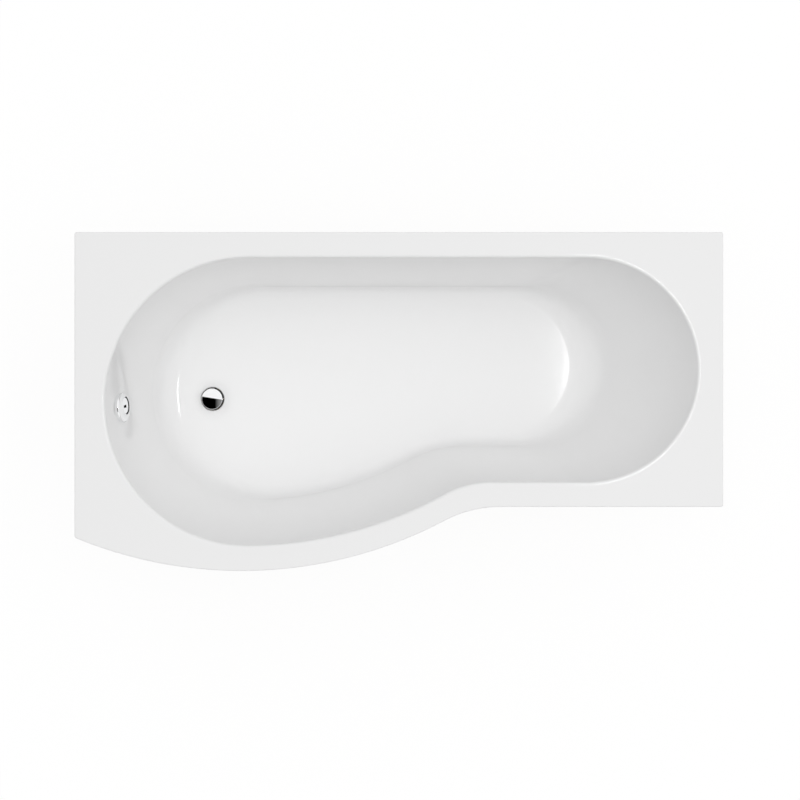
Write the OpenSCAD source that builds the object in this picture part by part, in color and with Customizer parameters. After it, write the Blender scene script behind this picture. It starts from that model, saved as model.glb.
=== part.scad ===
// B-shaped shower bath: moulded shell, rim battens, baseboard, leg frame, waste and overflow
//
// Frame: +X runs from the waste end to the backrest, +Y to the wall, +Z up.
// The origin is under the middle of the rim, on the floor that the feet stand on.

/* [Rim] */
// Overall length of the bath
bath_l = 1700; // [1600:1:1800]
// Overall width, over the widest point of the curved front
bath_w = 888; // [870:1:910]
// How far the bulge stands out past the narrow front
bulge_out = 168; // [150:1:180]
// Height of the rim above the floor
rim_h = 560; // [545:1:620]
// Radius of the curved front where it bulges
bulge_r = 1143; // [1100:1:1200]
// Radius of the hollow between the bulge and the narrow front
waist_r = 319; // [290:1:340]
// Place along the length where the narrow front straightens
waist_x = 268; // [250:1:285]
// Radius of the square corners in plan
corner_r = 6; // [5.5:0.5:12]
// Radius of the corner between the foot end and the curved front
curve_corner_r = 10; // [6:0.5:16]
// Radius along the rim's top edge
edge_r = 3; // [1:0.5:4]
// Depth of the turned-down skirt round the rim
skirt_h = 25; // [18:1:35]
// Thickness of the moulded shell
shell_t = 5; // [4:0.25:5.25]

/* [Tub] */
// Depth from the rim to the floor of the tub
inner_depth = 390; // [370:1:400]
// Width of the rim along the back
back_ledge = 67.5; // [60:0.5:75]
// Width of the rim along the narrow front
front_ledge = 65.5; // [58:0.5:72]
// Width of the rim at the bulge, at the widest point
bulge_ledge = 67.5; // [60:0.5:75]
// Width of the rim at the foot end, where the overflow is
foot_ledge = 79.5; // [72:0.5:90]
// Width of the rim at the head end
head_ledge = 68; // [60:0.5:75]
// Radius of the tub's opening where it follows the bulge
opening_bulge_r = 1090; // [1040:1:1140]
// Radius of the tub's opening in the hollow of the front
opening_waist_r = 253; // [230:1:275]
// Place along the length where the opening's narrow front straightens
opening_waist_x = 242; // [225:1:260]
// How far that place moves towards the foot end at the floor
waist_shift = 58; // [45:1:70]
// Radius of the roll from the rim into the tub
roll_r = 8; // [6:0.5:12]
// Slope of the back wall from upright, in degrees
back_slope = 8.2; // [7.5:0.1:9]
// Radius between the back wall and the floor
back_fillet = 30; // [26:1:34]
// Slope of the narrow front wall, in degrees
front_slope = 13.4; // [12.5:0.1:13.8]
// Radius between the narrow front wall and the floor
front_fillet = 33; // [30:1:37]
// Slope of the wall in the bulge, in degrees
bulge_slope = 15.8; // [15:0.1:16.5]
// Radius between the bulge's wall and the floor
bulge_fillet = 38; // [34:1:42]
// Slope of the foot end wall, in degrees
foot_slope = 13.8; // [12:0.1:16]
// Radius between the foot end wall and the floor
foot_fillet = 90; // [80:1:100]
// Slope of the backrest, in degrees
head_slope = 30; // [29:0.1:31]
// Radius between the backrest and the floor
head_fillet = 130; // [120:1:140]

/* [Boards and battens] */
// Thickness of the baseboard under the floor of the tub
board_t = 18; // [15:0.5:25]
// Distance of the baseboard's edge inside the edge of the floor
board_inset = 25; // [20:1:35]
// Radius of the baseboard's cut-out round the waste
board_hole_r = 50; // [46:0.5:60]
// Width of the end battens
batten_w = 50; // [40:1:51]
// Gap between a batten and the shell beside it
batten_gap = 3; // [2:0.5:5]

/* [Legs] */
// Place of the foot end cradle along the length
foot_cradle_x = -360; // [-380:1:-330]
// Place of the head end cradle along the length
head_cradle_x = 280; // [260:1:300]
// Place of the centre leg along the length
centre_leg_x = -40; // [-80:1:0]
// Place of the centre leg across the width
centre_leg_y = 70; // [40:1:100]
// Distance of the back legs outside the edge of the tub's floor
back_leg_reach = 60; // [58:1:70]
// Distance of the front legs outside the edge of the tub's floor
front_leg_reach = 90; // [88:1:100]
// Width of a cradle's web
cradle_w = 40; // [36:1:50]
// Depth of a cradle's flanges
cradle_h = 30; // [24:1:40]
// Thickness of the cradle's steel
steel_t = 2.5; // [2:0.25:3]
// Length of the cradle beyond the legs
cradle_over = 22; // [18:1:35]
// Length of the centre bracket
centre_bracket_l = 60; // [50:1:80]
// Width of each of the centre bracket's ears
centre_ear_w = 26; // [22:1:34]
// Diameter of the threaded rods
rod_d = 12; // [10:1:12]
// How far each leg can be screwed out, as a share of the height under the baseboard
leg_travel_share = 0.2721; // [0.2:0.0001:0.3]
// Spare thread that shows past the lock nut
rod_spare = 1.5; // [1:0.5:3]
// Width of the nuts across their flats
nut_af = 19; // [17:0.5:20]
// Thickness of the nuts
nut_t = 10; // [8:0.5:12]
// Diameter of the washers
washer_d = 24; // [22:1:28]
// Thickness of the washers
washer_t = 2.5; // [1.5:0.25:3]
// Diameter of a foot where it stands on the floor
foot_d = 56; // [48:1:70]
// Thickness of a foot's pad
foot_pad_t = 7; // [5:0.5:10]
// Height of a foot, as a share of the height under the baseboard
foot_h_share = 0.2857; // [0.25:0.0001:0.31]
// Diameter of a foot's neck
foot_neck_d = 22; // [19:1:28]
// Thickness of the foot under the end of its rod
foot_sole_t = 8; // [6:0.5:12]

/* [Screws and wall brackets] */
// Diameter of a screw's shank
screw_d = 4.4; // [3.5:0.1:5]
// Length of a screw's shank
screw_l = 14; // [10:0.5:16]
// Diameter of a screw's head
screw_head_d = 9; // [7:0.5:10]
// Thickness of a screw's head
screw_head_t = 3; // [2:0.25:4]
// Distance of each wall bracket from the middle of the bath
bracket_x = 450; // [350:1:600]
// Width of a wall bracket
bracket_w = 40; // [30:1:60]
// Height of a wall bracket on the wall
bracket_h = 62; // [55:1:80]
// Diameter of the wall bracket's holes for wall screws
bracket_hole_d = 6; // [4:0.5:8]
// Distance between the two wall screw holes, up and down
bracket_pitch = 25; // [20:1:30]
// Distance that the skirt clears the brackets' tops
bracket_gap = 2; // [1:0.5:4]

/* [Waste] */
// Distance of the waste from the foot end
waste_in = 319; // [315:1:330]
// Place of the waste across the width
waste_y = 7; // [0:1:15]
// Radius of the hole in the floor of the tub
waste_hole_r = 26; // [25:0.25:27]
// Radius of the dish's flat round the waste
dish_r = 40; // [37:0.5:44]
// Depth of the dish round the waste
dish_depth = 4; // [3.5:0.25:4.5]
// Radius of the waste's flange
flange_r = 35; // [34:0.25:36]
// Thickness of the waste's flange
flange_t = 3; // [2.5:0.25:4]
// Thickness of the seal under the flange
flange_seal_t = 1.5; // [1:0.25:2]
// Radius of the waste's threaded neck
neck_r = 23.9; // [23:0.1:24.4]
// Radius of the passage through the neck
neck_bore_r = 21.5; // [20.5:0.25:22]
// Thickness of the seal under the tub
under_seal_t = 4; // [3:0.25:6]
// Radius of the waste body's flange
body_flange_r = 38; // [36:0.5:42]
// Thickness of the waste body's flange
body_flange_t = 4; // [3:0.5:6]
// Radius of the waste body's bowl
bowl_r = 31; // [30:0.5:34]
// Depth of the waste body's bowl
bowl_h = 43; // [40:1:50]
// Wall of the waste's plastic bodies
plastic_t = 3.5; // [2.5:0.25:4]
// Radius of the tail that the trap screws onto
tail_r = 23.9; // [23:0.1:24]
// Length of the tail
tail_l = 30; // [25:1:32]
// Radius of the passage through the tail
tail_bore_r = 19; // [17:0.25:20]

/* [Plug] */
// Radius of the plug's domed cap
cap_r = 29.5; // [28:0.25:31]
// Height of the cap's dome
cap_dome = 2.5; // [2:0.25:4]
// Thickness of the cap's edge
cap_edge_t = 2.5; // [1.5:0.25:4]
// How far the plug is pressed down to close
plug_travel = 8.5; // [6:0.5:10]
// Gap left between the closed cap and the flange
cap_gap = 0.3; // [0.2:0.1:1]
// Thickness of the plug's rubber ring
plug_seal_t = 2.8; // [2:0.1:3]
// Radius of the plug's plunger
plunger_r = 4.8; // [4:0.1:5]
// Length of the plunger below the cap's boss
plunger_l = 23.5; // [22:0.5:28]
// Radius of the plug's boss
boss_r = 7; // [6:0.25:9]
// Depth of the plug's boss under the cap
boss_t = 5.3; // [4:0.1:6]
// Radius of the plug's tail
stem_r = 2; // [1.5:0.1:2.5]
// Length of the spring when the plug is up
spring_l = 19; // [16:0.5:24]
// Wall of the brass cartridge
cartridge_t = 1.6; // [1.2:0.1:2]
// Thickness of the bridge that holds the cartridge
bridge_t = 8; // [6:0.5:10]
// Thickness of the cartridge's head
cartridge_head_t = 6; // [4:0.5:8]

/* [Overflow] */
// Depth of the overflow's centre below the rim
overflow_drop = 100; // [92:1:110]
// Place of the overflow across the width
overflow_y = -17; // [-22:1:-5]
// Radius of the hole in the wall of the tub
overflow_hole_r = 30; // [29:0.25:31]
// Radius of the flat pad that the overflow sits on
pad_r = 43; // [41.5:0.5:46]
// Radius of the overflow's chrome cover
cover_r = 40; // [39.5:0.25:41]
// How far the cover stands off the wall
cover_h = 14; // [12:0.5:18]
// Thickness of the cover's metal
cover_t = 2.2; // [1.5:0.1:2.5]
// Height of the cover's crown
cover_crown = 2; // [1:0.25:3]
// Width of the water slot in the cover's lower edge
slot_w = 32; // [24:1:40]
// Height of the water slot
slot_h = 6; // [4:0.5:7]
// Radius of the overflow's inner plate
plate_r = 36; // [35:0.25:36.5]
// Thickness of the inner plate
plate_t = 3; // [2:0.25:4]
// Radius of the plate's neck through the wall
plate_neck_r = 27; // [26:0.25:28]
// Thickness of the overflow's seal behind the wall
overflow_seal_t = 4; // [3:0.25:6]
// Depth of the overflow body behind its flange
overflow_cup_h = 30; // [28:1:34]
// Radius of the clamp screw
clamp_r = 3; // [2.5:0.25:4]

/* [Overflow hose] */
// Outer radius of the hose
hose_r = 16; // [15:0.5:17]
// Radius of the hose's bore
hose_bore_r = 12; // [11:0.5:12.5]
// Depth of the hose's ribs
rib_depth = 1.8; // [1:0.1:2.5]
// Number of ribs
rib_count = 74; // [40:1:90]
// Outer radius of the hose nuts
hose_nut_r = 21; // [20:0.5:24]
// Length of a hose nut
hose_nut_l = 20; // [16:1:24]

/* [Hidden] */
$fn = 64;

// Clearance of a shaft in the hole that it runs or screws in
fit_gap = 0.05;
// Clearance between pieces that only lie beside each other
side_gap = 0.3;
// Small overrun of a cutting shape past the face that it cuts
cut = 1;
// How far a seal's edge lies inside the edge of its flange
seal_in = 1;
// Width of the spokes that hold the cartridge and the clamp screw
spoke_w = 3;

// Straight runs and arcs as lists of points, each without its last point

function run_points(a, b, n) = [for (i = [0 : n - 1]) a + (b - a) * i / n];
function arc_points(c, r, from, to, n) =
    [for (i = [0 : n - 1]) let (w = from + (to - from) * i / n) c + r * [cos(w), sin(w)]];
function angle_to(from, to) = atan2(to[1] - from[1], to[0] - from[0]);

// Centre of a circle at distance ra from a and rb from b, on the left of the line from a to b
function meet(a, ra, b, rb) =
    let (
        d = norm(b - a),
        along = (ra * ra - rb * rb + d * d) / (2 * d),
        up = sqrt(ra * ra - along * along),
        u = (b - a) / d
    ) a + along * u + up * [-u[1], u[0]];

// How many steps each stretch of an outline takes, shared by the rim and the opening

end_steps = 28;
back_steps = 8;
bulge_steps = 16;
waist_steps = 9;
front_steps = 5;
corner_steps = 2;
side_steps = 6;

// The rim's outline in plan, drawn in by a distance m

back_y = bath_w / 2;
bulge_y = -bath_w / 2;
front_y = bulge_y + bulge_out;
end_x = bath_l / 2;
waist_c = [waist_x, front_y - waist_r];
bulge_cy = bulge_y + bulge_r;
bulge_c = [
    waist_x - sqrt(pow(bulge_r + waist_r, 2) - pow(bulge_cy - waist_c[1], 2)),
    bulge_cy
];

function rim_outline(m) =
    let (
        rc = max(corner_r - m, 0.5),
        rf = max(curve_corner_r - m, 0.5),
        left = m - end_x,
        right = end_x - m,
        back = back_y - m,
        front = front_y + m,
        big = bulge_r - m,
        fx = left + rf,
        fc = [fx, bulge_c[1] - sqrt(pow(big - rf, 2) - pow(fx - bulge_c[0], 2))],
        corner_end = angle_to(bulge_c, fc),
        widest = -90,
        waist_at = angle_to(bulge_c, waist_c),
        edge_steps = end_steps - 2 * side_steps - 2 * corner_steps
    ) concat(
        run_points([head_circle_x(0), front], [right - rc, front], side_steps),
        arc_points([right - rc, front + rc], rc, -90, 0, corner_steps),
        run_points([right, front + rc], [right, back - rc], edge_steps),
        arc_points([right - rc, back - rc], rc, 0, 90, corner_steps),
        run_points([right - rc, back], [head_circle_x(0), back], side_steps),
        run_points([head_circle_x(0), back], [foot_circle_x(0), back], back_steps),
        run_points([foot_circle_x(0), back], [left + rc, back], side_steps),
        arc_points([left + rc, back - rc], rc, 90, 180, corner_steps),
        run_points([left, back - rc], [left, fc[1]], edge_steps - 1),
        arc_points(fc, rf, -180, corner_end, corner_steps),
        arc_points(bulge_c, big, corner_end, widest, side_steps + 1),
        arc_points(bulge_c, big, widest, waist_at, bulge_steps),
        arc_points(waist_c, waist_r + m, waist_at + 180, 90, waist_steps),
        run_points([waist_x, front], [head_circle_x(0), front], front_steps)
    );

// How far a wall has come in from the opening at a depth d below the rim:
// a roll off the rim, a straight slope and a fillet into the floor

function wall_run(d, slope, fillet) =
    let (
        roll_end = roll_r * (1 - sin(slope)),
        roll_run = -roll_r * (1 - cos(slope)),
        fillet_start = inner_depth - fillet * (1 - sin(slope)),
        fillet_run = roll_run + (fillet_start - roll_end) * tan(slope)
    )
    d < roll_end ? -roll_r + sqrt(max(0, roll_r * roll_r - pow(roll_r - d, 2))) :
    d < fillet_start ? roll_run + (d - roll_end) * tan(slope) :
    fillet_run + fillet * cos(slope) - sqrt(max(0, fillet * fillet - pow(d - inner_depth + fillet, 2)));

function back_run(d) = wall_run(d, back_slope, back_fillet);
function front_run(d) = wall_run(d, front_slope, front_fillet);
function bulge_run(d) = wall_run(d, bulge_slope, bulge_fillet);
function foot_run(d) = wall_run(d, foot_slope, foot_fillet);
function head_run(d) = wall_run(d, head_slope, head_fillet);

// The tub's outline at a depth d is two circles, joined by a straight back
// and by a front that bulges, hollows and runs straight

function tub_back(d) = back_y - back_ledge - back_run(d);
function tub_front(d) = front_y + front_ledge + front_run(d);
function tub_bulge(d) = bulge_y + bulge_ledge + bulge_run(d);
function tub_foot(d) = foot_ledge - end_x + foot_run(d);
function tub_head(d) = end_x - head_ledge - head_run(d);
function foot_circle_r(d) = (tub_back(d) - tub_bulge(d)) / 2;
function head_circle_r(d) = (tub_back(d) - tub_front(d)) / 2;
function foot_circle_x(d) = tub_foot(d) + foot_circle_r(d);
function head_circle_x(d) = tub_head(d) - head_circle_r(d);
function foot_circle_c(d) = [foot_circle_x(d), (tub_back(d) + tub_bulge(d)) / 2];
function head_circle_c(d) = [head_circle_x(d), (tub_back(d) + tub_front(d)) / 2];
function tub_waist_r(d) = opening_waist_r + front_run(d);
function tub_waist_c(d) = [
    opening_waist_x - waist_shift * max(d, 0) / inner_depth,
    tub_front(d) - tub_waist_r(d)
];
function tub_bulge_r(d) = opening_bulge_r - bulge_run(d);
function tub_bulge_c(d) = meet(
    foot_circle_c(d), tub_bulge_r(d) - foot_circle_r(d),
    tub_waist_c(d), tub_bulge_r(d) + tub_waist_r(d)
);

// The same outline, moved out by a distance h

function tub_outline(d, h) =
    let (
        foot_c = foot_circle_c(d),
        head_c = head_circle_c(d),
        waist = tub_waist_c(d),
        big_c = tub_bulge_c(d),
        meets_foot = angle_to(big_c, foot_c),
        meets_waist = angle_to(big_c, waist)
    ) concat(
        arc_points(head_c, head_circle_r(d) + h, -90, 90, end_steps),
        run_points([head_c[0], tub_back(d) + h], [foot_c[0], tub_back(d) + h], back_steps),
        arc_points(foot_c, foot_circle_r(d) + h, 90, 360 + meets_foot, end_steps),
        arc_points(big_c, tub_bulge_r(d) + h, meets_foot, meets_waist, bulge_steps),
        arc_points(waist, tub_waist_r(d) - h, meets_waist + 180, 90, waist_steps),
        run_points([waist[0], tub_front(d) - h], [head_c[0], tub_front(d) - h], front_steps)
    );

function at_height(outline, z) = [for (p = outline) [p[0], p[1], z]];

// Heights of the tub and of what is under it

floor_z = rim_h - inner_depth;
under_floor_z = floor_z - shell_t;
rim_under_z = rim_h - shell_t;
board_z = under_floor_z - board_t;
leg_travel = leg_travel_share * board_z;
foot_h = foot_h_share * board_z;
batten_t = skirt_h - shell_t + bracket_gap;
batten_z = rim_under_z - batten_t;

// Depths at which the tub's rings lie, from the floor up to the rim

fillet_steps = 8;
slope_steps = 4;
roll_steps = 4;
fillet_top = inner_depth - head_fillet * (1 - sin(head_slope));
fillet_depths = [
    for (i = [0 : fillet_steps])
        inner_depth - head_fillet * (1 - cos(i * (90 - head_slope) / fillet_steps))
];
slope_depths = [for (i = [1 : slope_steps]) fillet_top + (roll_r - fillet_top) * i / slope_steps];
roll_depths = [for (i = [1 : roll_steps]) roll_r * (1 - sin(i * 90 / roll_steps))];
inner_depths = concat(fillet_depths, slope_depths, roll_depths);

// Lean of the shell's surface at a depth, which its thickness is measured square to

function surface_angle(d) =
    d < inner_depth - front_fillet * (1 - sin(front_slope)) ? 90 - front_slope :
    acos(min(1, (d - inner_depth + front_fillet) / front_fillet));

function inner_ring(d) = at_height(tub_outline(d, 0), rim_h - d);
function under_ring(d) = at_height(
    tub_outline(d, shell_t * sin(surface_angle(d))),
    rim_h - d - shell_t * cos(surface_angle(d))
);
function rim_ring(m, z) = at_height(rim_outline(m), z);

edge_rings = [for (i = [0 : 2]) rim_ring(edge_r * (1 - sin(i * 45)), rim_h - edge_r * (1 - cos(i * 45)))];

shell_rings = concat(
    [for (d = inner_depths) inner_ring(d)],
    [
        edge_rings[0], edge_rings[1], edge_rings[2],
        rim_ring(0, rim_h - skirt_h), rim_ring(shell_t, rim_h - skirt_h), rim_ring(shell_t, rim_under_z),
        at_height(tub_outline(roll_r, shell_t), rim_under_z)
    ],
    [for (i = [slope_steps - 1 : -1 : 1]) under_ring(slope_depths[i - 1])],
    [for (i = [fillet_steps : -1 : 0]) under_ring(fillet_depths[i])]
);

// Faces of a stack of rings that all have n points

function ring_faces(rings, n) = [
    for (k = [0 : rings - 2], i = [0 : n - 1])
        let (j = (i + 1) % n, a = k * n + i, b = k * n + j, c = a + n, d = b + n)
            each [[a, c, b], [b, c, d]]
];
function fan_faces(ring, n, hub, flip) = [
    for (i = [0 : n - 1])
        let (a = ring * n + i, b = ring * n + (i + 1) % n)
            flip ? [hub, b, a] : [hub, a, b]
];

module shell_solid() {
    n = len(shell_rings[0]);
    count = len(shell_rings);
    hub = [centre_leg_x, centre_leg_y];
    points = concat(
        [for (ring = shell_rings) each ring],
        [[hub[0], hub[1], floor_z], [hub[0], hub[1], under_floor_z]]
    );
    polyhedron(points, concat(
        ring_faces(count, n),
        fan_faces(0, n, count * n, false),
        fan_faces(count - 1, n, count * n + 1, true)
    ));
}

// The overflow's place: its own Z axis points square off the foot wall, into the tub

overflow_turn = asin((foot_circle_c(overflow_drop)[1] - overflow_y) / foot_circle_r(overflow_drop));
overflow_x = foot_circle_x(overflow_drop) - foot_circle_r(overflow_drop) * cos(overflow_turn);
overflow_z = rim_h - overflow_drop;
overflow_axis = [
    cos(foot_slope) * cos(overflow_turn), cos(foot_slope) * sin(overflow_turn), sin(foot_slope)
];
pad_back_w = -shell_t - side_gap;

module at_overflow(w) {
    translate([overflow_x, overflow_y, overflow_z])
        rotate([0, 90 - foot_slope, overflow_turn])
            translate([0, 0, w]) children();
}

// Place of the waste, and heights of its pieces

waste_x = waste_in - end_x;
dish_z = floor_z - dish_depth;
dish_under_z = dish_z - shell_t;
flange_z = dish_z + flange_seal_t;
flange_top = flange_z + flange_t;
under_seal_z = dish_under_z - under_seal_t;
body_z = under_seal_z - body_flange_t;
bowl_z = body_z - bowl_h;
tail_z = bowl_z - tail_l;
dish_under_r = dish_r + shell_t + dish_depth;

module tube(r, bore, h) {
    difference() {
        cylinder(r = r, h = h);
        translate([0, 0, -cut]) cylinder(r = bore, h = h + 2 * cut);
    }
}

module at_waste(z) {
    translate([waste_x, waste_y, z]) children();
}

module tub_shell() color("white") difference() {
    union() {
        shell_solid();
        at_overflow(pad_back_w) cylinder(r = pad_r + shell_t / 2, h = -pad_back_w);
        at_waste(dish_under_z) cylinder(r = dish_under_r, h = shell_t);
    }
    at_overflow(0) cylinder(r = pad_r, h = 2 * shell_t);
    at_overflow(-2 * shell_t) cylinder(r = overflow_hole_r, h = 4 * shell_t);
    at_waste(dish_z) cylinder(r1 = dish_r, r2 = dish_r + 2 * dish_depth, h = 2 * dish_depth);
    at_waste(dish_under_z - cut) cylinder(r = waste_hole_r, h = 2 * shell_t);
}

// Boards and battens

module baseboard() color("burlywood") difference() {
    translate([0, 0, board_z]) linear_extrude(board_t) polygon(tub_outline(inner_depth, -board_inset));
    at_waste(board_z - cut) {
        cylinder(r = board_hole_r, h = board_t + 2 * cut);
        translate([-2 * board_hole_r, -board_hole_r, 0])
            cube([2 * board_hole_r, 2 * board_hole_r, board_t + 2 * cut]);
    }
    for (p = board_screw_places) screw_pilot(p, board_z, board_t);
}

module screw_pilot(place, z, thickness) {
    translate([place[0], place[1], z - cut])
        cylinder(d = screw_d + 2 * fit_gap, h = min(screw_l + side_gap, thickness - cut) + cut);
}

batten_back = back_y - shell_t - batten_gap;
batten_front = front_y + shell_t + batten_gap;
ledge_back = back_y - back_ledge + shell_t + batten_gap;
ledge_front = front_y + front_ledge - shell_t - batten_gap;
batten_end = end_x - shell_t - batten_gap;

module back_batten() color("tan") difference() {
    translate([-batten_end, ledge_back, batten_z])
        cube([2 * batten_end, batten_back - ledge_back, batten_t]);
    for (p = bracket_screw_places) screw_pilot(p, batten_z, batten_t);
}

// Edges of the front batten: each follows a bulge, a hollow and a straight front

function curved_front(left, right, front, big_c, big_r, hollow_c, hollow_r) =
    let (
        from = -90 + asin((left - big_c[0]) / big_r),
        to = angle_to(big_c, hollow_c)
    ) concat(
        arc_points(big_c, big_r, from, to, bulge_steps + end_steps / 2),
        arc_points(hollow_c, hollow_r, to + 180, 90, waist_steps),
        [[hollow_c[0], front], [right, front]]
    );

front_batten_outer = curved_front(
    -batten_end, batten_end, batten_front,
    bulge_c, bulge_r - shell_t - batten_gap, waist_c, waist_r + shell_t + batten_gap
);
front_batten_inner = curved_front(
    -batten_end, batten_end, ledge_front,
    tub_bulge_c(0), opening_bulge_r + shell_t + batten_gap,
    tub_waist_c(0), opening_waist_r - shell_t - batten_gap
);

module front_batten() color("tan") translate([0, 0, batten_z]) linear_extrude(batten_t)
    polygon(concat(
        front_batten_outer,
        [for (i = [len(front_batten_inner) - 1 : -1 : 0]) front_batten_inner[i]]
    ));

module end_batten(x, low_y) color("tan")
    translate([x, low_y, batten_z]) cube([batten_w, ledge_back - side_gap - low_y, batten_t]);
module foot_end_batten() end_batten(-batten_end, front_batten_inner[0][1] + side_gap);
module head_end_batten() end_batten(batten_end - batten_w, ledge_front + side_gap);

// Legs: a place, the height of the steel web that each is clamped to, and its rod's top

back_leg_y = tub_back(inner_depth) + back_leg_reach;
foot_front_leg_y = tub_bulge(inner_depth) - front_leg_reach;
head_front_leg_y = tub_front(inner_depth) - front_leg_reach;
clamp_h = washer_t + nut_t + leg_travel + rod_spare;
cradle_web_z = board_z - steel_t;
centre_drop = clamp_h + rod_spare;
centre_web_z = board_z - centre_drop - steel_t;

leg_places = [
    [foot_cradle_x, back_leg_y, cradle_web_z],
    [foot_cradle_x, foot_front_leg_y, cradle_web_z],
    [head_cradle_x, back_leg_y, cradle_web_z],
    [head_cradle_x, head_front_leg_y, cradle_web_z],
    [centre_leg_x, centre_leg_y, centre_web_z]
];

module at_leg(i, z) translate([leg_places[i][0], leg_places[i][1], z]) children();

foot_bevel = 1;
foot_flare_w = 4;
foot_flare_h = 7;
foot_profile = [
    [0, 0], [foot_d / 2 - foot_bevel, 0], [foot_d / 2, foot_bevel], [foot_d / 2, foot_pad_t - 2 * foot_bevel],
    [foot_d / 2 - 3 * foot_bevel, foot_pad_t], [foot_neck_d / 2 + foot_flare_w, foot_pad_t + 2 * foot_bevel],
    [foot_neck_d / 2, foot_pad_t + foot_flare_h], [foot_neck_d / 2, foot_h - foot_bevel],
    [foot_neck_d / 2 - foot_bevel, foot_h], [0, foot_h]
];

module leg_foot(i) color("dimgray") at_leg(i, 0) difference() {
    rotate_extrude() polygon(foot_profile);
    translate([0, 0, foot_sole_t]) cylinder(d = rod_d + 2 * fit_gap, h = foot_h);
}

module leg_rod(i) color("silver") at_leg(i, foot_sole_t)
    cylinder(d = rod_d, h = leg_places[i][2] + steel_t + clamp_h - foot_sole_t);

module hex_nut() difference() {
    cylinder(d = nut_af / cos(30), h = nut_t, $fn = 6);
    translate([0, 0, -cut]) cylinder(d = rod_d + 2 * fit_gap, h = nut_t + 2 * cut);
}

module leg_adjusting_nut(i) color("silver") at_leg(i, leg_places[i][2] - washer_t - nut_t) hex_nut();
module leg_lock_nut(i) color("silver") at_leg(i, leg_places[i][2] + steel_t + washer_t) hex_nut();

module leg_washers() color("silver")
    for (i = [0 : len(leg_places) - 1], z = [-washer_t, steel_t])
        at_leg(i, leg_places[i][2] + z) tube(washer_d / 2, rod_d / 2 + side_gap, washer_t);

module leg_hole(i) at_leg(i, leg_places[i][2] - cut)
    cylinder(d = rod_d + 2 * side_gap, h = steel_t + 2 * cut);

module screw_hole(place, z) translate([place[0], place[1], z - cut])
    cylinder(d = screw_d + 2 * side_gap, h = steel_t + 2 * cut);

// Cradles: steel channels that lie across under the baseboard, open downwards

screw_shares = [0.25, 0.42, 0.58, 0.75];

function cradle_screws_at(x, front_leg) =
    [for (s = screw_shares) [x, front_leg + (back_leg_y - front_leg) * s]];

foot_cradle_screws = cradle_screws_at(foot_cradle_x, foot_front_leg_y);
head_cradle_screws = cradle_screws_at(head_cradle_x, head_front_leg_y);

module cradle(x, front_leg, back_leg, screws) color("lightsteelblue") {
    low = leg_places[front_leg][1] - cradle_over;
    high = leg_places[back_leg][1] + cradle_over;
    difference() {
        translate([x - cradle_w / 2, low, board_z - cradle_h]) cube([cradle_w, high - low, cradle_h]);
        translate([x - cradle_w / 2 + steel_t, low - cut, board_z - cradle_h - cut])
            cube([cradle_w - 2 * steel_t, high - low + 2 * cut, cradle_h - steel_t + cut]);
        leg_hole(front_leg);
        leg_hole(back_leg);
        for (p = screws) screw_hole(p, cradle_web_z);
    }
}

module foot_cradle() cradle(foot_cradle_x, 1, 0, foot_cradle_screws);
module head_cradle() cradle(head_cradle_x, 3, 2, head_cradle_screws);

// Centre bracket: a top-hat of steel that hangs from the baseboard

centre_in = cradle_w / 2;
centre_screws = [
    for (sx = [-1, 1], sy = [-1, 1])
        [
            centre_leg_x + sx * (centre_in + centre_ear_w / 2),
            centre_leg_y + sy * centre_bracket_l / 4
        ]
];

module centre_bracket() color("lightsteelblue") difference() {
    translate([centre_leg_x, centre_leg_y, 0]) rotate([90, 0, 0])
        translate([0, 0, -centre_bracket_l / 2]) linear_extrude(centre_bracket_l)
            polygon([for (s = [1, -1], p = s > 0 ? hat_half : hat_half_back) [s * p[0], p[1]]]);
    leg_hole(4);
    for (p = centre_screws) screw_hole(p, board_z - steel_t);
}

hat_half = [
    [0, centre_web_z + steel_t], [centre_in - steel_t, centre_web_z + steel_t],
    [centre_in - steel_t, board_z], [centre_in + centre_ear_w, board_z],
    [centre_in + centre_ear_w, board_z - steel_t], [centre_in, board_z - steel_t],
    [centre_in, centre_web_z], [0, centre_web_z]
];
hat_half_back = [for (i = [len(hat_half) - 2 : -1 : 1]) hat_half[i]];

// Screws

board_screw_places = concat(foot_cradle_screws, head_cradle_screws, centre_screws);

module pan_screw(place, z) translate([place[0], place[1], z]) {
    translate([0, 0, -screw_head_t]) cylinder(d = screw_head_d, h = screw_head_t);
    translate([0, 0, -screw_head_t / 2]) cylinder(d = screw_d, h = screw_l + screw_head_t / 2);
}

module cradle_screws() color("silver")
    for (p = board_screw_places) pan_screw(p, board_z - steel_t);

// Wall brackets: an angle of steel under the back batten and flat on the wall

bracket_z = batten_z - steel_t;
bracket_setback = 8;
bracket_depth = back_y - ledge_back - bracket_setback;
bracket_screw_in = [0.35, 0.7];
bracket_screw_places = [
    for (s = [-1, 1], u = bracket_screw_in)
        [s * bracket_x, ledge_back + (batten_back - ledge_back) * u]
];

module wall_bracket(side) color("lightsteelblue") difference() {
    union() {
        translate([side * bracket_x - bracket_w / 2, back_y - bracket_depth, bracket_z])
            cube([bracket_w, bracket_depth, steel_t]);
        translate([side * bracket_x - bracket_w / 2, back_y - steel_t, batten_z - bracket_h])
            cube([bracket_w, steel_t, bracket_h]);
    }
    for (p = bracket_screw_places) screw_hole(p, bracket_z);
    for (s = [-1, 1])
        translate([side * bracket_x, back_y + cut, batten_z - bracket_h / 2 + s * bracket_pitch / 2])
            rotate([90, 0, 0]) cylinder(d = bracket_hole_d, h = steel_t + 2 * cut);
}

module left_wall_bracket() wall_bracket(-1);
module right_wall_bracket() wall_bracket(1);
module bracket_screws() color("silver") for (p = bracket_screw_places) pan_screw(p, bracket_z);

// Waste

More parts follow.
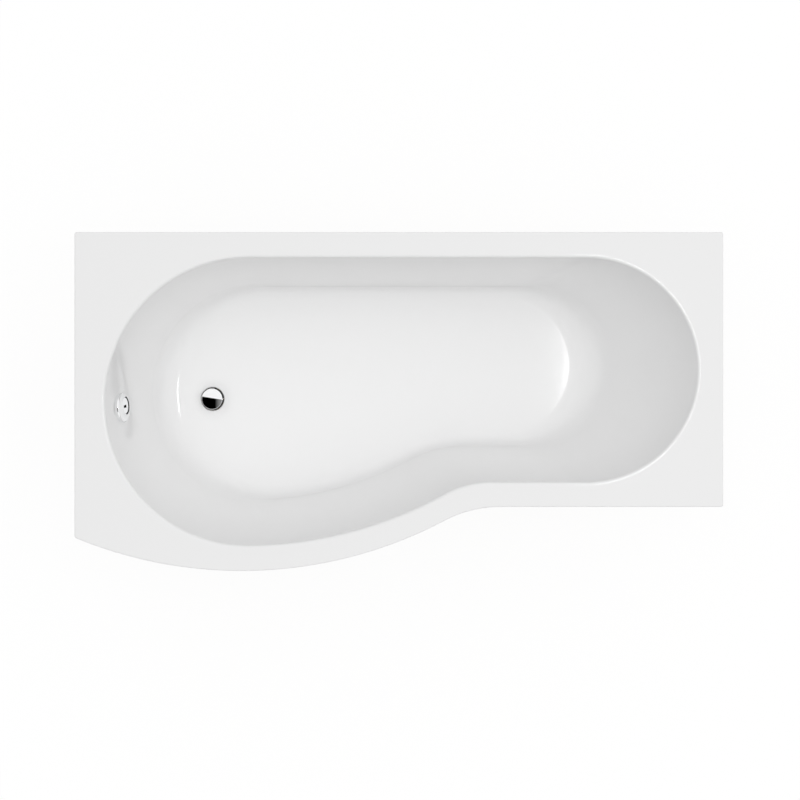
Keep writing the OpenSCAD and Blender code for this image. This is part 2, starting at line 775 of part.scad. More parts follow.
flange_bevel = 1;
neck_past_bridge = 2;
hub_t = 2.5;
bridge_z = body_z - bridge_t + body_flange_t;
neck_end = bridge_z - neck_past_bridge;
cartridge_r = plunger_r + fit_gap + cartridge_t;
bridge_hub_r = cartridge_r + hub_t;

module waste_flange() color("gainsboro") at_waste(0) difference() {
    union() {
        translate([0, 0, flange_z]) cylinder(r = flange_r, h = flange_t - flange_bevel);
        translate([0, 0, flange_top - flange_bevel])
            cylinder(r1 = flange_r, r2 = flange_r - flange_bevel, h = flange_bevel);
        translate([0, 0, neck_end]) cylinder(r = neck_r, h = flange_z - neck_end + flange_bevel);
    }
    translate([0, 0, flange_z])
        cylinder(r1 = neck_bore_r, r2 = neck_bore_r + 2 * flange_t, h = 2 * flange_t);
    difference() {
        translate([0, 0, neck_end - cut]) cylinder(r = neck_bore_r, h = flange_top - neck_end + 2 * cut);
        translate([0, 0, bridge_z]) bridge();
    }
    translate([0, 0, bridge_z - cut]) cylinder(r = cartridge_r + fit_gap, h = bridge_t + 2 * cut);
}

module bridge() {
    cylinder(r = bridge_hub_r, h = bridge_t);
    for (a = [0, 90]) rotate(a) translate([-neck_r, -spoke_w / 2, 0]) cube([2 * neck_r, spoke_w, bridge_t]);
}

module waste_flange_seal() color("dimgray") at_waste(dish_z)
    tube(flange_r - seal_in, neck_r + side_gap, flange_seal_t);
module waste_under_seal() color("dimgray") at_waste(under_seal_z)
    tube(body_flange_r - seal_in, neck_r + side_gap, under_seal_t);

inlet_above_bowl = 2;
inlet_z = bowl_z + hose_r + inlet_above_bowl;
inlet_l = 30;

module waste_body() color("whitesmoke") at_waste(0) difference() {
    union() {
        translate([0, 0, body_z]) cylinder(r = body_flange_r, h = body_flange_t);
        translate([0, 0, bowl_z]) cylinder(r = bowl_r, h = bowl_h + cut);
        translate([0, 0, tail_z]) cylinder(r = tail_r, h = tail_l + cut);
        translate([-bowl_r - inlet_l, 0, inlet_z]) rotate([0, 90, 0])
            cylinder(r = hose_r, h = bowl_r + inlet_l);
    }
    translate([0, 0, neck_end]) cylinder(r = neck_r + fit_gap, h = under_seal_z - neck_end + cut);
    translate([0, 0, bowl_z + plastic_t])
        cylinder(r = bowl_r - plastic_t, h = neck_end - bowl_z - 2 * plastic_t);
    translate([0, 0, neck_end - plastic_t - cut]) cylinder(r = neck_bore_r, h = plastic_t + 2 * cut);
    translate([0, 0, tail_z - cut]) cylinder(r = tail_bore_r, h = tail_l + plastic_t + 2 * cut);
    translate([-bowl_r - inlet_l - cut, 0, inlet_z]) rotate([0, 90, 0])
        cylinder(r = hose_bore_r, h = inlet_l + plastic_t + 2 * cut);
}

// Plug

cap_z = flange_top + cap_gap + plug_travel;
plug_seal_r = neck_bore_r + flange_t + cap_gap - plug_seal_t - 2 * side_gap;
stem_top_r = stem_r + 1;
stem_past = 2;
plunger_top = cap_z - boss_t;
plunger_z = plunger_top - plunger_l;
spring_z = plunger_z - spring_l;
cartridge_z = spring_z - cartridge_t;
cartridge_top = bridge_z + bridge_t + cartridge_head_t;
cap_sphere_r = (cap_r * cap_r + cap_dome * cap_dome) / (2 * cap_dome);

module plug_cap() color("gainsboro") at_waste(cap_z) difference() {
    union() {
        cylinder(r = cap_r, h = cap_edge_t);
        translate([0, 0, -boss_t]) cylinder(r = boss_r, h = boss_t + cut);
        intersection() {
            translate([0, 0, cap_edge_t + cap_dome - cap_sphere_r]) sphere(r = cap_sphere_r, $fn = 96);
            cylinder(r = cap_r, h = cap_edge_t + cap_dome + cut);
        }
    }
    translate([0, 0, -boss_t - cut]) cylinder(r = stem_top_r + fit_gap, h = boss_t + cut);
}

module plug_seal() color("dimgray") at_waste(cap_z - plug_seal_t) difference() {
    cylinder(r1 = plug_seal_r, r2 = plug_seal_r + plug_seal_t, h = plug_seal_t);
    translate([0, 0, -cut]) cylinder(r = boss_r + fit_gap, h = plug_seal_t + 2 * cut);
}

module plug_stem() color("goldenrod") at_waste(0) {
    translate([0, 0, plunger_z]) cylinder(r = plunger_r, h = plunger_l);
    translate([0, 0, plunger_top - cut]) cylinder(r = stem_top_r, h = boss_t + cut - side_gap);
    translate([0, 0, cartridge_z - stem_past])
        cylinder(r = stem_r, h = plunger_z - cartridge_z + stem_past + cut);
}

module plug_spring() color("silver") at_waste(spring_z)
    tube(plunger_r - side_gap, stem_r + side_gap, spring_l);

module plug_cartridge() color("goldenrod") at_waste(0) difference() {
    union() {
        translate([0, 0, cartridge_z]) cylinder(r = cartridge_r, h = cartridge_top - cartridge_z);
        translate([0, 0, bridge_z + bridge_t]) cylinder(r = bridge_hub_r, h = cartridge_head_t, $fn = 6);
    }
    translate([0, 0, spring_z]) cylinder(r = plunger_r + fit_gap, h = cartridge_top - spring_z + cut);
    translate([0, 0, cartridge_z - cut]) cylinder(r = stem_r + fit_gap, h = cartridge_t + 2 * cut);
}

// Overflow, from the tub outwards

cover_crown_in = 5;
plate_neck_past = 8;
clamp_hub_t = 4;
clamp_head_over = 2.5;
clamp_boss_l = 10;
spigot_back = 2;
plate_neck_l = shell_t + overflow_seal_t + plate_neck_past;
overflow_back_w = pad_back_w - overflow_seal_t;
cup_end_w = overflow_back_w - overflow_cup_h;

module overflow_cover() color("gainsboro") at_overflow(0) difference() {
    union() {
        translate([0, 0, side_gap]) cylinder(r = cover_r, h = cover_h - cover_crown - side_gap);
        translate([0, 0, cover_h - cover_crown])
            cylinder(r1 = cover_r, r2 = cover_r - cover_crown_in, h = cover_crown);
    }
    translate([0, 0, -cut]) cylinder(r = plate_r + side_gap, h = cover_h - cover_crown - cover_t + cut);
    translate([0, -slot_w / 2, side_gap + plate_t]) cube([cover_r + cut, slot_w, slot_h]);
}

module overflow_plate() color("gainsboro") at_overflow(0) difference() {
    union() {
        cylinder(r = plate_r, h = plate_t);
        translate([0, 0, -plate_neck_l]) cylinder(r = plate_neck_r, h = plate_neck_l + cut);
    }
    difference() {
        translate([0, 0, -plate_neck_l - cut])
            cylinder(r = plate_neck_r - cover_t, h = plate_neck_l + plate_t + 2 * cut);
        cylinder(r = clamp_r + clamp_hub_t, h = plate_t);
        for (a = [45, 135]) rotate(a)
            translate([-plate_neck_r, -spoke_w / 2, 0]) cube([2 * plate_neck_r, spoke_w, plate_t]);
    }
    translate([0, 0, -cut]) cylinder(r = clamp_r + fit_gap, h = plate_t + 2 * cut);
}

module overflow_clamp_screw() color("silver") at_overflow(plate_t) {
    cylinder(r = clamp_r + clamp_head_over, h = clamp_r);
    clamp_end = cup_end_w + plastic_t + cut;
    translate([0, 0, clamp_end - plate_t]) cylinder(r = clamp_r, h = plate_t - clamp_end + cut);
}

module overflow_seal() color("dimgray") at_overflow(overflow_back_w)
    tube(body_flange_r - seal_in, plate_neck_r + side_gap, overflow_seal_t);

spigot_w = (overflow_back_w + cup_end_w) / 2 - spigot_back;
spigot_at = [overflow_x, overflow_y, overflow_z] + spigot_w * overflow_axis;
spigot_z = spigot_at[2];
spigot_end = spigot_z - bowl_r - inlet_l;

module overflow_body() color("whitesmoke") difference() {
    union() {
        at_overflow(overflow_back_w - body_flange_t) cylinder(r = body_flange_r, h = body_flange_t);
        at_overflow(cup_end_w) cylinder(r = bowl_r, h = overflow_cup_h);
        translate([spigot_at[0], spigot_at[1], spigot_end]) cylinder(r = hose_r, h = spigot_z - spigot_end);
    }
    difference() {
        at_overflow(cup_end_w + plastic_t) cylinder(r = plate_neck_r + fit_gap, h = overflow_cup_h);
        at_overflow(cup_end_w) cylinder(r = clamp_r + plastic_t, h = clamp_boss_l);
    }
    at_overflow(cup_end_w + plastic_t) cylinder(r = clamp_r + fit_gap, h = clamp_boss_l);
    translate([spigot_at[0], spigot_at[1], spigot_end - cut])
        cylinder(r = hose_bore_r, h = spigot_z - spigot_end - plate_neck_r + plastic_t + 2 * cut);
}

// Overflow hose: it hangs straight from the overflow, turns under the tub and enters the waste.
// Its places between are shares of the way from the waste back to the overflow, along X, Y and Z.

hose_start = [spigot_at[0], spigot_at[1], spigot_end];
hose_end = [waste_x - bowl_r - inlet_l, waste_y, inlet_z];
hose_shares = [
    [1, 0.98, 0.66], [1, 0.9, 0.55], [0.99, 0.78, 0.44], [0.97, 0.67, 0.325], [0.91, 0.51, 0.22],
    [0.81, 0.35, 0.13], [0.675, 0.2, 0.06], [0.52, 0.08, 0.015]
];
hose_places = [
    for (p = hose_shares)
        [for (i = [0 : 2]) hose_end[i] + (hose_start[i] - hose_end[i]) * p[i]]
];
straight = 2 * hose_r;
hose_route = concat(
    [for (i = [0 : 2]) hose_start - [0, 0, i * straight]],
    hose_places,
    [for (i = [2 : -1 : 0]) hose_end - [i * straight, 0, 0]]
);
hose_last = len(hose_route) - 1;

function hose_point(s) =
    let (
        i = min(floor(s), hose_last - 1),
        f = s - i,
        b = hose_route[i],
        c = hose_route[i + 1],
        a = i == 0 ? 2 * b - c : hose_route[i - 1],
        d = i == hose_last - 1 ? 2 * c - b : hose_route[i + 2]
    ) 0.5 * (2 * b + (c - a) * f + (2 * a - 5 * b + 4 * c - d) * f * f + (3 * b - a - 3 * c + d) * f * f * f);

function unit(v) = v / norm(v);
function hose_ring(s, r) =
    let (
        p = hose_point(s),
        t = s < 1 ? [0, 0, -1] : s > hose_last - 1 ? [1, 0, 0] :
            unit(hose_point(s + 0.01) - hose_point(s - 0.01)),
        v = unit(cross(t, [0, 1, 0])),
        u = cross(v, t)
    ) [
        for (k = [0 : hose_sides - 1])
            let (w = k * 360 / hose_sides) p + r * (cos(w) * u + sin(w) * v)
    ];

hose_sides = 8;
bore_steps = 26;
rib_steps = 2 * rib_count;
hose_rings = concat(
    [hose_ring(0, hose_r)],
    [
        for (i = [0 : rib_steps])
            hose_ring(1 + (hose_last - 2) * i / rib_steps, hose_r - (i % 2) * rib_depth)
    ],
    [hose_ring(hose_last, hose_r)],
    [for (i = [bore_steps : -1 : 0]) hose_ring(hose_last * i / bore_steps, hose_bore_r)]
);

module overflow_hose() color("lightgray") {
    count = len(hose_rings);
    polyhedron([for (ring = hose_rings) each ring], [
        for (k = [0 : count - 1], i = [0 : hose_sides - 1])
            let (
                j = (i + 1) % hose_sides,
                next = (k + 1) % count,
                a = k * hose_sides + i,
                b = k * hose_sides + j,
                c = next * hose_sides + i,
                d = next * hose_sides + j
            ) each [[a, b, c], [b, d, c]]
    ]);
}

// Least gap of the hose to itself, between stretches that aren't neighbours
hose_samples = [for (i = [0 : 60]) hose_point(hose_last * i / 60)];
hose_gap = min([
    for (i = [0 : 60], j = [0 : 60])
        if (j > i + 15) norm(hose_samples[i] - hose_samples[j]) - 2 * hose_r
]);
echo(hose_gap_mm = hose_gap);

module hose_nut() translate([0, 0, -hose_nut_l / 2]) tube(hose_nut_r, hose_r + side_gap, hose_nut_l);
module overflow_hose_nut() color("dimgray") translate(hose_start) hose_nut();
module waste_hose_nut() color("dimgray") translate(hose_end) rotate([0, 90, 0]) hose_nut();

tub_shell();
baseboard();
back_batten();
front_batten();
foot_end_batten();
head_end_batten();
foot_cradle();
head_cradle();
centre_bracket();
cradle_screws();
leg_washers();
leg_foot(0);  // back_foot_leg_foot
leg_rod(0);  // back_foot_leg_rod
leg_adjusting_nut(0);  // back_foot_leg_adjusting_nut
leg_lock_nut(0);  // back_foot_leg_lock_nut
leg_foot(1);  // front_foot_leg_foot
leg_rod(1);  // front_foot_leg_rod
leg_adjusting_nut(1);  // front_foot_leg_adjusting_nut
leg_lock_nut(1);  // front_foot_leg_lock_nut
leg_foot(2);  // back_head_leg_foot
leg_rod(2);  // back_head_leg_rod
leg_adjusting_nut(2);  // back_head_leg_adjusting_nut
leg_lock_nut(2);  // back_head_leg_lock_nut
leg_foot(3);  // front_head_leg_foot
leg_rod(3);  // front_head_leg_rod
leg_adjusting_nut(3);  // front_head_leg_adjusting_nut
leg_lock_nut(3);  // front_head_leg_lock_nut
leg_foot(4);  // centre_leg_foot
leg_rod(4);  // centre_leg_rod
leg_adjusting_nut(4);  // centre_leg_adjusting_nut
leg_lock_nut(4);  // centre_leg_lock_nut
left_wall_bracket();
right_wall_bracket();
bracket_screws();
waste_flange();
waste_flange_seal();
waste_under_seal();
waste_body();
plug_cap();
plug_seal();
plug_stem();
plug_spring();
plug_cartridge();
overflow_cover();
overflow_plate();
overflow_clamp_screw();
overflow_seal();
overflow_body();
overflow_hose();
overflow_hose_nut();
waste_hose_nut();
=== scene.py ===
# %% [markdown]
# A shower bath seen from straight above
#
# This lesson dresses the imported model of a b-shaped shower bath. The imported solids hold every
# real size, so each piece here takes its place from them and only adds the finish: smooth
# curves, rounded edges, threads, glass fibre, wood grain and chrome.

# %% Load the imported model
import math

import bmesh
import bpy
from mathutils import Matrix, Vector


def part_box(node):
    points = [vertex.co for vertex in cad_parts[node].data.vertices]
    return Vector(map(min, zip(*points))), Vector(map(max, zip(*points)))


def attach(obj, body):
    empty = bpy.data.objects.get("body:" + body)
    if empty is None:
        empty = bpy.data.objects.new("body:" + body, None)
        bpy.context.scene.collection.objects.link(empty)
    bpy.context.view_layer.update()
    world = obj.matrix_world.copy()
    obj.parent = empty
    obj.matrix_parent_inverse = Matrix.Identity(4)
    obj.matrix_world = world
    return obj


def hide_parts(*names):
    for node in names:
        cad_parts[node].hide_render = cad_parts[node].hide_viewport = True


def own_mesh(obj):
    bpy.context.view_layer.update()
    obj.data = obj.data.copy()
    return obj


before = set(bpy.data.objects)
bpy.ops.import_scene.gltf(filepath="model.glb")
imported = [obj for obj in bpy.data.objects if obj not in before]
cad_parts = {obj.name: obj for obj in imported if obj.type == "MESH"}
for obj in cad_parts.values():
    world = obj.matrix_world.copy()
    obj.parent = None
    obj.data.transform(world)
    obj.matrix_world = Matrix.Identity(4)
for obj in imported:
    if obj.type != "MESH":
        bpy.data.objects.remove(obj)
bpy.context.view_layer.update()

# %% [markdown]
# The camera comes first
#
# The photograph looks straight down from far away, so the camera hangs above the rim. Its
# height comes from the waste: the floor of the tub lies deeper than the rim, and its flange
# looks smaller than its 70 mm by just the share that a height of 4.5 m gives. The lens is
# then chosen so that 800 pixels cover 2.1 m at the height of the rim.

# %% Camera
RIM_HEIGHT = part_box("tub_shell")[1].z
CAMERA_ABOVE_RIM = 4.5
METRES_PER_PIXEL = 0.0026194
PHOTO_PIXELS = 800
CAMERA_AT = Vector((0.003, 0.004, RIM_HEIGHT + CAMERA_ABOVE_RIM))

camera_data = bpy.data.cameras.new("camera")
camera_data.sensor_width = 36.0
camera_data.lens = camera_data.sensor_width * CAMERA_ABOVE_RIM / (METRES_PER_PIXEL * PHOTO_PIXELS)
camera_data.clip_end = 50.0
camera = bpy.data.objects.new("camera", camera_data)
camera.location = CAMERA_AT
bpy.context.scene.collection.objects.link(camera)
bpy.context.scene.camera = camera
print("lens in mm:", round(camera_data.lens, 2))

# %% [markdown]
# Helpers for materials
#
# Each finish is a Principled shader with a little bump and colour variation that reads the
# Object coordinates. The objects all sit at the origin, so those coordinates are metres in
# the bath's own frame and a noise scale of 100 gives patches about a centimetre wide.

# %% Material helpers
def new_material(name, color, roughness, metallic=0.0, **sockets):
    material = bpy.data.materials.new(name)
    material.use_nodes = True
    shader = material.node_tree.nodes["Principled BSDF"]
    shader.inputs["Base Color"].default_value = (*color, 1.0)
    shader.inputs["Roughness"].default_value = roughness
    shader.inputs["Metallic"].default_value = metallic
    for socket, value in sockets.items():
        shader.inputs[socket.replace("_", " ")].default_value = value
    return material


def add_node(owner, kind, **settings):
    """A node in a material, a lamp or the world, with its inputs or its settings given."""
    node = owner.node_tree.nodes.new(kind)
    for name, value in settings.items():
        if name in node.inputs:
            node.inputs[name].default_value = value
        else:
            setattr(node, name, value)
    return node


def wire(owner, source, output, target, socket):
    owner.node_tree.links.new(source.outputs[output], target.inputs[socket])


def math_of(owner, operation, *values):
    """A math node, fed by sockets or by plain numbers. Returns its output."""
    node = add_node(owner, "ShaderNodeMath", operation=operation)
    for socket, value in zip(node.inputs, values):
        if isinstance(value, bpy.types.NodeSocket):
            owner.node_tree.links.new(value, socket)
        else:
            socket.default_value = value
    return node.outputs["Value"]


# %% Patterns that follow the bath's own coordinates
def coordinates(material, stretch=(1.0, 1.0, 1.0)):
    """Object coordinates in metres, stretched where a grain runs one way."""
    texture_at = add_node(material, "ShaderNodeTexCoord")
    mapping = add_node(material, "ShaderNodeMapping", Scale=stretch)
    wire(material, texture_at, "Object", mapping, "Vector")
    return mapping


def noise(material, at, scale, detail=4.0, roughness=0.5):
    node = add_node(material, "ShaderNodeTexNoise", Scale=scale, Detail=detail, Roughness=roughness)
    wire(material, at, "Vector", node, "Vector")
    return node


def ramp(material, source, output, stops):
    """Turns a value into a colour or a number between the given stops."""
    node = add_node(material, "ShaderNodeValToRGB")
    elements = node.color_ramp.elements
    while len(elements) < len(stops):
        elements.new(0.5)
    for element, (place, color) in zip(elements, stops):
        element.position = place
        element.color = (*color, 1.0)
    wire(material, source, output, node, "Fac")
    return node


def add_bump(material, source, output, strength, depth):
    shader = material.node_tree.nodes["Principled BSDF"]
    bump = add_node(material, "ShaderNodeBump", Strength=strength, Distance=depth)
    wire(material, source, output, bump, "Height")
    wire(material, bump, "Normal", shader, "Normal")
    return bump


def color_from(material, node):
    wire(material, node, "Color", material.node_tree.nodes["Principled BSDF"], "Base Color")


def roughness_from(material, source, output, low, high):
    spread = add_node(material, "ShaderNodeMapRange", **{"To Min": low, "To Max": high})
    wire(material, source, output, spread, "Value")
    wire(material, spread, "Result", material.node_tree.nodes["Principled BSDF"], "Roughness")


def grey(value):
    return (value, value, value)


# %% [markdown]
# Moulded acrylic and what backs it
#
# The inside is cast acrylic, drawn down over a mould: glossy, white and very slightly wavy.
# The wave is a broad noise with almost no height, just enough to bend reflections. A little
# roughness softens what the wall mirrors, and keeps the acrylic apart from true mirrors.
# The back is glass fibre in resin: matt and off-white, with blotches, dribbles and a rough bump. A
# Voronoi for crossed strands is made, but it is not wired to the shader.

# %% Acrylic and glass fibre
def make_acrylic():
    material = new_material("cast_acrylic", grey(0.90), 0.09, IOR=1.49)
    at = coordinates(material)
    waves = noise(material, at, 7.0, detail=2.0)
    add_bump(material, waves, "Fac", 0.10, 0.004)
    clouds = noise(material, at, 9.0, detail=3.0)
    roughness_from(material, clouds, "Fac", 0.085, 0.100)
    return material


def make_glass_fibre():
    material = new_material("sprayed_glass_fibre", (0.66, 0.63, 0.55), 0.5)
    at = coordinates(material)
    strands = add_node(
        material, "ShaderNodeTexVoronoi", Scale=160.0, feature="DISTANCE_TO_EDGE"
    )
    bent = noise(material, at, 60.0)
    wire(material, bent, "Color", strands, "Vector")
    patches = noise(material, at, 26.0, detail=8.0, roughness=0.65)
    tint = ramp(material, patches, "Fac", [
        (0.30, (0.48, 0.43, 0.33)), (0.50, (0.66, 0.62, 0.52)), (0.72, (0.78, 0.76, 0.70)),
    ])
    color_from(material, tint)
    roughness_from(material, patches, "Fac", 0.32, 0.62)
    rough_coat = noise(material, at, 220.0, detail=6.0, roughness=0.7)
    add_bump(material, rough_coat, "Fac", 0.55, 0.0012)
    return material


acrylic = make_acrylic()
glass_fibre = make_glass_fibre()
print("made:", acrylic.name, glass_fibre.name)

# %% [markdown]
# Wood under the bath
#
# The baseboard is chipboard, so its colour jumps from chip to chip: a Voronoi cell colour
# does that. The battens are softwood, whose grain runs along their length: noise that is 22
# times finer across the grain gives long rings, and a finer noise gives the fibres.

# %% Chipboard and softwood
def make_chipboard():
    material = new_material("pressed_chips", (0.46, 0.32, 0.18), 0.62)
    at = coordinates(material, stretch=(1.0, 1.7, 1.0))
    chips = add_node(material, "ShaderNodeTexVoronoi", Scale=170.0)
    wire(material, at, "Vector", chips, "Vector")
    tint = ramp(material, chips, "Color", [
        (0.10, (0.24, 0.15, 0.08)), (0.45, (0.42, 0.29, 0.16)), (0.90, (0.58, 0.43, 0.26)),
    ])
    color_from(material, tint)
    add_bump(material, chips, "Distance", 0.35, 0.0006)
    return material


def make_softwood(name, along_x):
    material = new_material(name, (0.55, 0.38, 0.20), 0.55)
    stretch = (1.0, 22.0, 22.0) if along_x else (22.0, 1.0, 22.0)
    at = coordinates(material, stretch=stretch)
    rings = noise(material, at, 2.6, detail=5.0, roughness=0.6)
    tint = ramp(material, rings, "Fac", [
        (0.32, (0.38, 0.22, 0.09)), (0.46, (0.56, 0.38, 0.19)),
        (0.55, (0.47, 0.30, 0.14)), (0.70, (0.64, 0.47, 0.27)),
    ])
    color_from(material, tint)
    fibres = noise(material, at, 24.0, detail=3.0)
    add_bump(material, fibres, "Fac", 0.3, 0.0005)
    return material


chipboard = make_chipboard()
softwood_long = make_softwood("pine_along_x", True)
softwood_cross = make_softwood("pine_along_y", False)
print("made:", chipboard.name, softwood_long.name, softwood_cross.name)

# %% [markdown]
# Metals
#
# Galvanised sheet shows spangle: flat crystals of zinc, each with its own grey and gloss.
# Voronoi cells drive both. Zinc-plated fasteners are finer and brighter. Chrome is a mirror
# with no roughness at all, and what it shows is up to the studio around it.

# %% Galvanised steel, zinc plate, chrome, brass and spring wire
def make_galvanised():
    material = new_material("galvanised_sheet", grey(0.55), 0.4, metallic=1.0)
    at = coordinates(material)
    bent = noise(material, at, 40.0)
    spangle = add_node(material, "ShaderNodeTexVoronoi", Scale=95.0)
    wire(material, at, "Vector", spangle, "Vector")
    dark, bright = (0.40, 0.42, 0.44), (0.66, 0.68, 0.70)
    color_from(material, ramp(material, spangle, "Color", [(0.0, dark), (1.0, bright)]))
    roughness_from(material, spangle, "Color", 0.28, 0.5)
    add_bump(material, bent, "Fac", 0.12, 0.0006)
    return material


def make_plated(name, color, low, high, scale):
    material = new_material(name, color, low, metallic=1.0)
    at = coordinates(material)
    mist = noise(material, at, scale, detail=6.0)
    roughness_from(material, mist, "Fac", low, high)
    add_bump(material, mist, "Fac", 0.08, 0.0002)
    return material


def make_chrome():
    """A perfect mirror, which only a faint wave of the metal under it disturbs."""
    material = new_material("mirror_chrome", (0.90, 0.905, 0.91), 0.0, metallic=1.0)
    at = coordinates(material)
    wave = noise(material, at, 60.0, detail=1.0)
    add_bump(material, wave, "Fac", 0.05, 0.0001)
    cloud = noise(material, at, 30.0)
    dark, bright = (0.89, 0.895, 0.90), (0.92, 0.925, 0.93)
    color_from(material, ramp(material, cloud, "Fac", [(0.3, dark), (0.7, bright)]))
    return material


galvanised = make_galvanised()
zinc_plate = make_plated("bright_zinc", (0.62, 0.63, 0.66), 0.2, 0.42, 260.0)
chrome = make_chrome()
brass = make_plated("turned_brass", (0.68, 0.49, 0.20), 0.18, 0.36, 240.0)
spring_wire = make_plated("drawn_wire", (0.58, 0.58, 0.60), 0.2, 0.3, 300.0)
print("made:", galvanised.name, zinc_plate.name, chrome.name, brass.name, spring_wire.name)

# %% [markdown]
# Plastics and rubber
#
# Moulded plastic is never quite even: a fine grain breaks the highlight. Rubber is darker
# and rougher, with a dusty bloom.

# %% Plastics and rubber
def make_plastic(name, color, low, high, grain, depth):
    material = new_material(name, color, low, IOR=1.48)
    at = coordinates(material)
    pattern = noise(material, at, grain, detail=5.0)
    roughness_from(material, pattern, "Fac", low, high)
    add_bump(material, pattern, "Fac", 0.25, depth)
    dark = tuple(0.93 * c for c in color)
    cloud = noise(material, at, 22.0)
    color_from(material, ramp(material, cloud, "Fac", [(0.35, dark), (0.65, color)]))
    return material


foot_plastic = make_plastic("black_foot_plastic", (0.018, 0.018, 0.02), 0.35, 0.55, 700.0, 0.0003)
waste_plastic = make_plastic("white_waste_plastic", (0.74, 0.74, 0.72), 0.28, 0.42, 500.0, 0.0002)
nut_plastic = make_plastic("white_nut_plastic", (0.70, 0.70, 0.69), 0.3, 0.45, 600.0, 0.0002)
hose_plastic = make_plastic("grey_hose_plastic", (0.50, 0.51, 0.52), 0.3, 0.5, 420.0, 0.0002)
rubber = make_plastic("black_rubber", (0.02, 0.02, 0.021), 0.6, 0.8, 900.0, 0.0002)
print("made:", foot_plastic.name, waste_plastic.name, hose_plastic.name, rubber.name)

# %% [markdown]
# Helpers for meshes
#
# Three moves make nearly every piece. A lathe spins a rounded profile about an axis. A loft
# extrudes a ring of edges and places each new ring. A prism extrudes a flat face and bevels
# its edges. Each one is a few bmesh operators, and the placing is a matrix at the end.

# %% Finishing a piece
def finish_piece(name, bm, material, body, nodes=(), sharp=35.0):
    """Turns a bmesh into a piece that rides on a body and stands for the nodes."""
    bmesh.ops.remove_doubles(bm, verts=bm.verts, dist=1e-6)
    bmesh.ops.dissolve_degenerate(bm, edges=bm.edges, dist=1e-7)
    bmesh.ops.recalc_face_normals(bm, faces=bm.faces)
    mesh = bpy.data.meshes.new(name)
    bm.to_mesh(mesh)
    bm.free()
    for polygon in mesh.polygons:
        polygon.use_smooth = True
    mesh.set_sharp_from_angle(angle=math.radians(sharp))
    mesh.materials.append(material)
    piece = bpy.data.objects.new(name, mesh)
    bpy.context.scene.collection.objects.link(piece)
    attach(piece, body)
    if nodes:
        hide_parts(*nodes)
    return piece


def moved(bm, matrix):
    bmesh.ops.transform(bm, matrix=matrix, verts=bm.verts)
    return bm


def merged(parts):
    """One bmesh out of several, each of which is freed."""
    whole = bmesh.new()
    for part in parts:
        mesh = bpy.data.meshes.new("part")
        part.to_mesh(mesh)
        part.free()
        whole.from_mesh(mesh)
        bpy.data.meshes.remove(mesh)
    return whole


# %% Rounded profiles and the lathe
ROUND_STEPS = 4
ROUND_SHARE = 0.45
HOLD = 1.5
HOLD_SHARE = 0.48


def rounded(profile, radius, closed=True, spun=False):
    """Rounds the corners of a line of points, with points beside them that keep flats flat."""
    count = len(profile)
    points = []
    for index, corner in enumerate(profile):
        corner = Vector(corner)
        before = Vector(profile[index - 1])
        after = Vector(profile[(index + 1) % count])
        ends = not closed and index in (0, count - 1)
        if ends or (spun and corner.x < 1e-6):
            points.append(corner)
            continue
        back, onward = before - corner, after - corner
        reach = min(radius, ROUND_SHARE * back.length, ROUND_SHARE * onward.length)
        start = corner + back.normalized() * reach
        finish = corner + onward.normalized() * reach
        if HOLD * reach < HOLD_SHARE * back.length:
            points.append(corner + back.normalized() * HOLD * reach)
        for step in range(ROUND_STEPS + 1):
            share = step / ROUND_STEPS
            points.append(
                start * (1 - share) ** 2 + corner * 2 * share * (1 - share) + finish * share ** 2
            )
        if HOLD * reach < HOLD_SHARE * onward.length:
            points.append(corner + onward.normalized() * HOLD * reach)
    return points


def lathe(profile, radius=0.0004, steps=64, closed=True, at=Matrix.Identity(4)):
    """Spins (radius, height) points about Z. An open profile starts and ends on the axis."""
    bm = bmesh.new()
    points = rounded(profile, radius, closed, spun=True) if radius else [Vector(p) for p in profile]
    verts = [bm.verts.new((p.x, 0.0, p.y)) for p in points]
    pairs = list(zip(verts, verts[1:]))
    if closed:
        pairs.append((verts[-1], verts[0]))
    edges = [bm.edges.new(pair) for pair in pairs]
    bmesh.ops.spin(
        bm, geom=verts + edges, cent=(0, 0, 0), axis=(0, 0, 1),
        angle=2 * math.pi, steps=steps, use_merge=True,
    )
    bmesh.ops.remove_doubles(bm, verts=bm.verts, dist=1e-6)
    bmesh.ops.dissolve_degenerate(bm, edges=bm.edges, dist=1e-7)
    moved(bm, at)
    return bm


# %% Lofts through rings of points
def place_ring(verts, points):
    for vert, point in zip(verts, points):
        vert.co = point


def ring_edges(bm, verts):
    return [bm.edges.get((verts[i - 1], verts[i])) for i in range(len(verts))]


def next_ring(bm, verts, points):
    """Extrudes a closed ring of edges and moves the new verts to the points."""
    order = {vert: index for index, vert in enumerate(verts)}
    made = bmesh.ops.extrude_edge_only(bm, edges=ring_edges(bm, verts))["geom"]
    fresh = [None] * len(verts)
    for vert in (item for item in made if isinstance(item, bmesh.types.BMVert)):
        for edge in vert.link_edges:
            index = order.get(edge.other_vert(vert))
            if index is not None:
                fresh[index] = vert
    place_ring(fresh, points)
    return fresh


def loft(bm, rings):
    """A surface through rings that all have as many points. Returns its first and last ring."""
    first = bmesh.ops.create_circle(bm, segments=len(rings[0]), radius=1.0)["verts"]
    place_ring(first, rings[0])
    last = first
    for points in rings[1:]:
        last = next_ring(bm, last, points)
    return first, last


# %% Prisms and boxes with rounded edges
def soften(bm, radius, segments=2, angle=25.0):
    """Bevels every edge that turns by more than the angle."""
    limit = math.radians(angle)
    sharp = [e for e in bm.edges if e.is_manifold and e.calc_face_angle(0.0) > limit]
    bmesh.ops.bevel(
        bm, geom=sharp, offset=radius, segments=segments, profile=0.5, affect="EDGES",
        material=-1, clamp_overlap=True,
    )


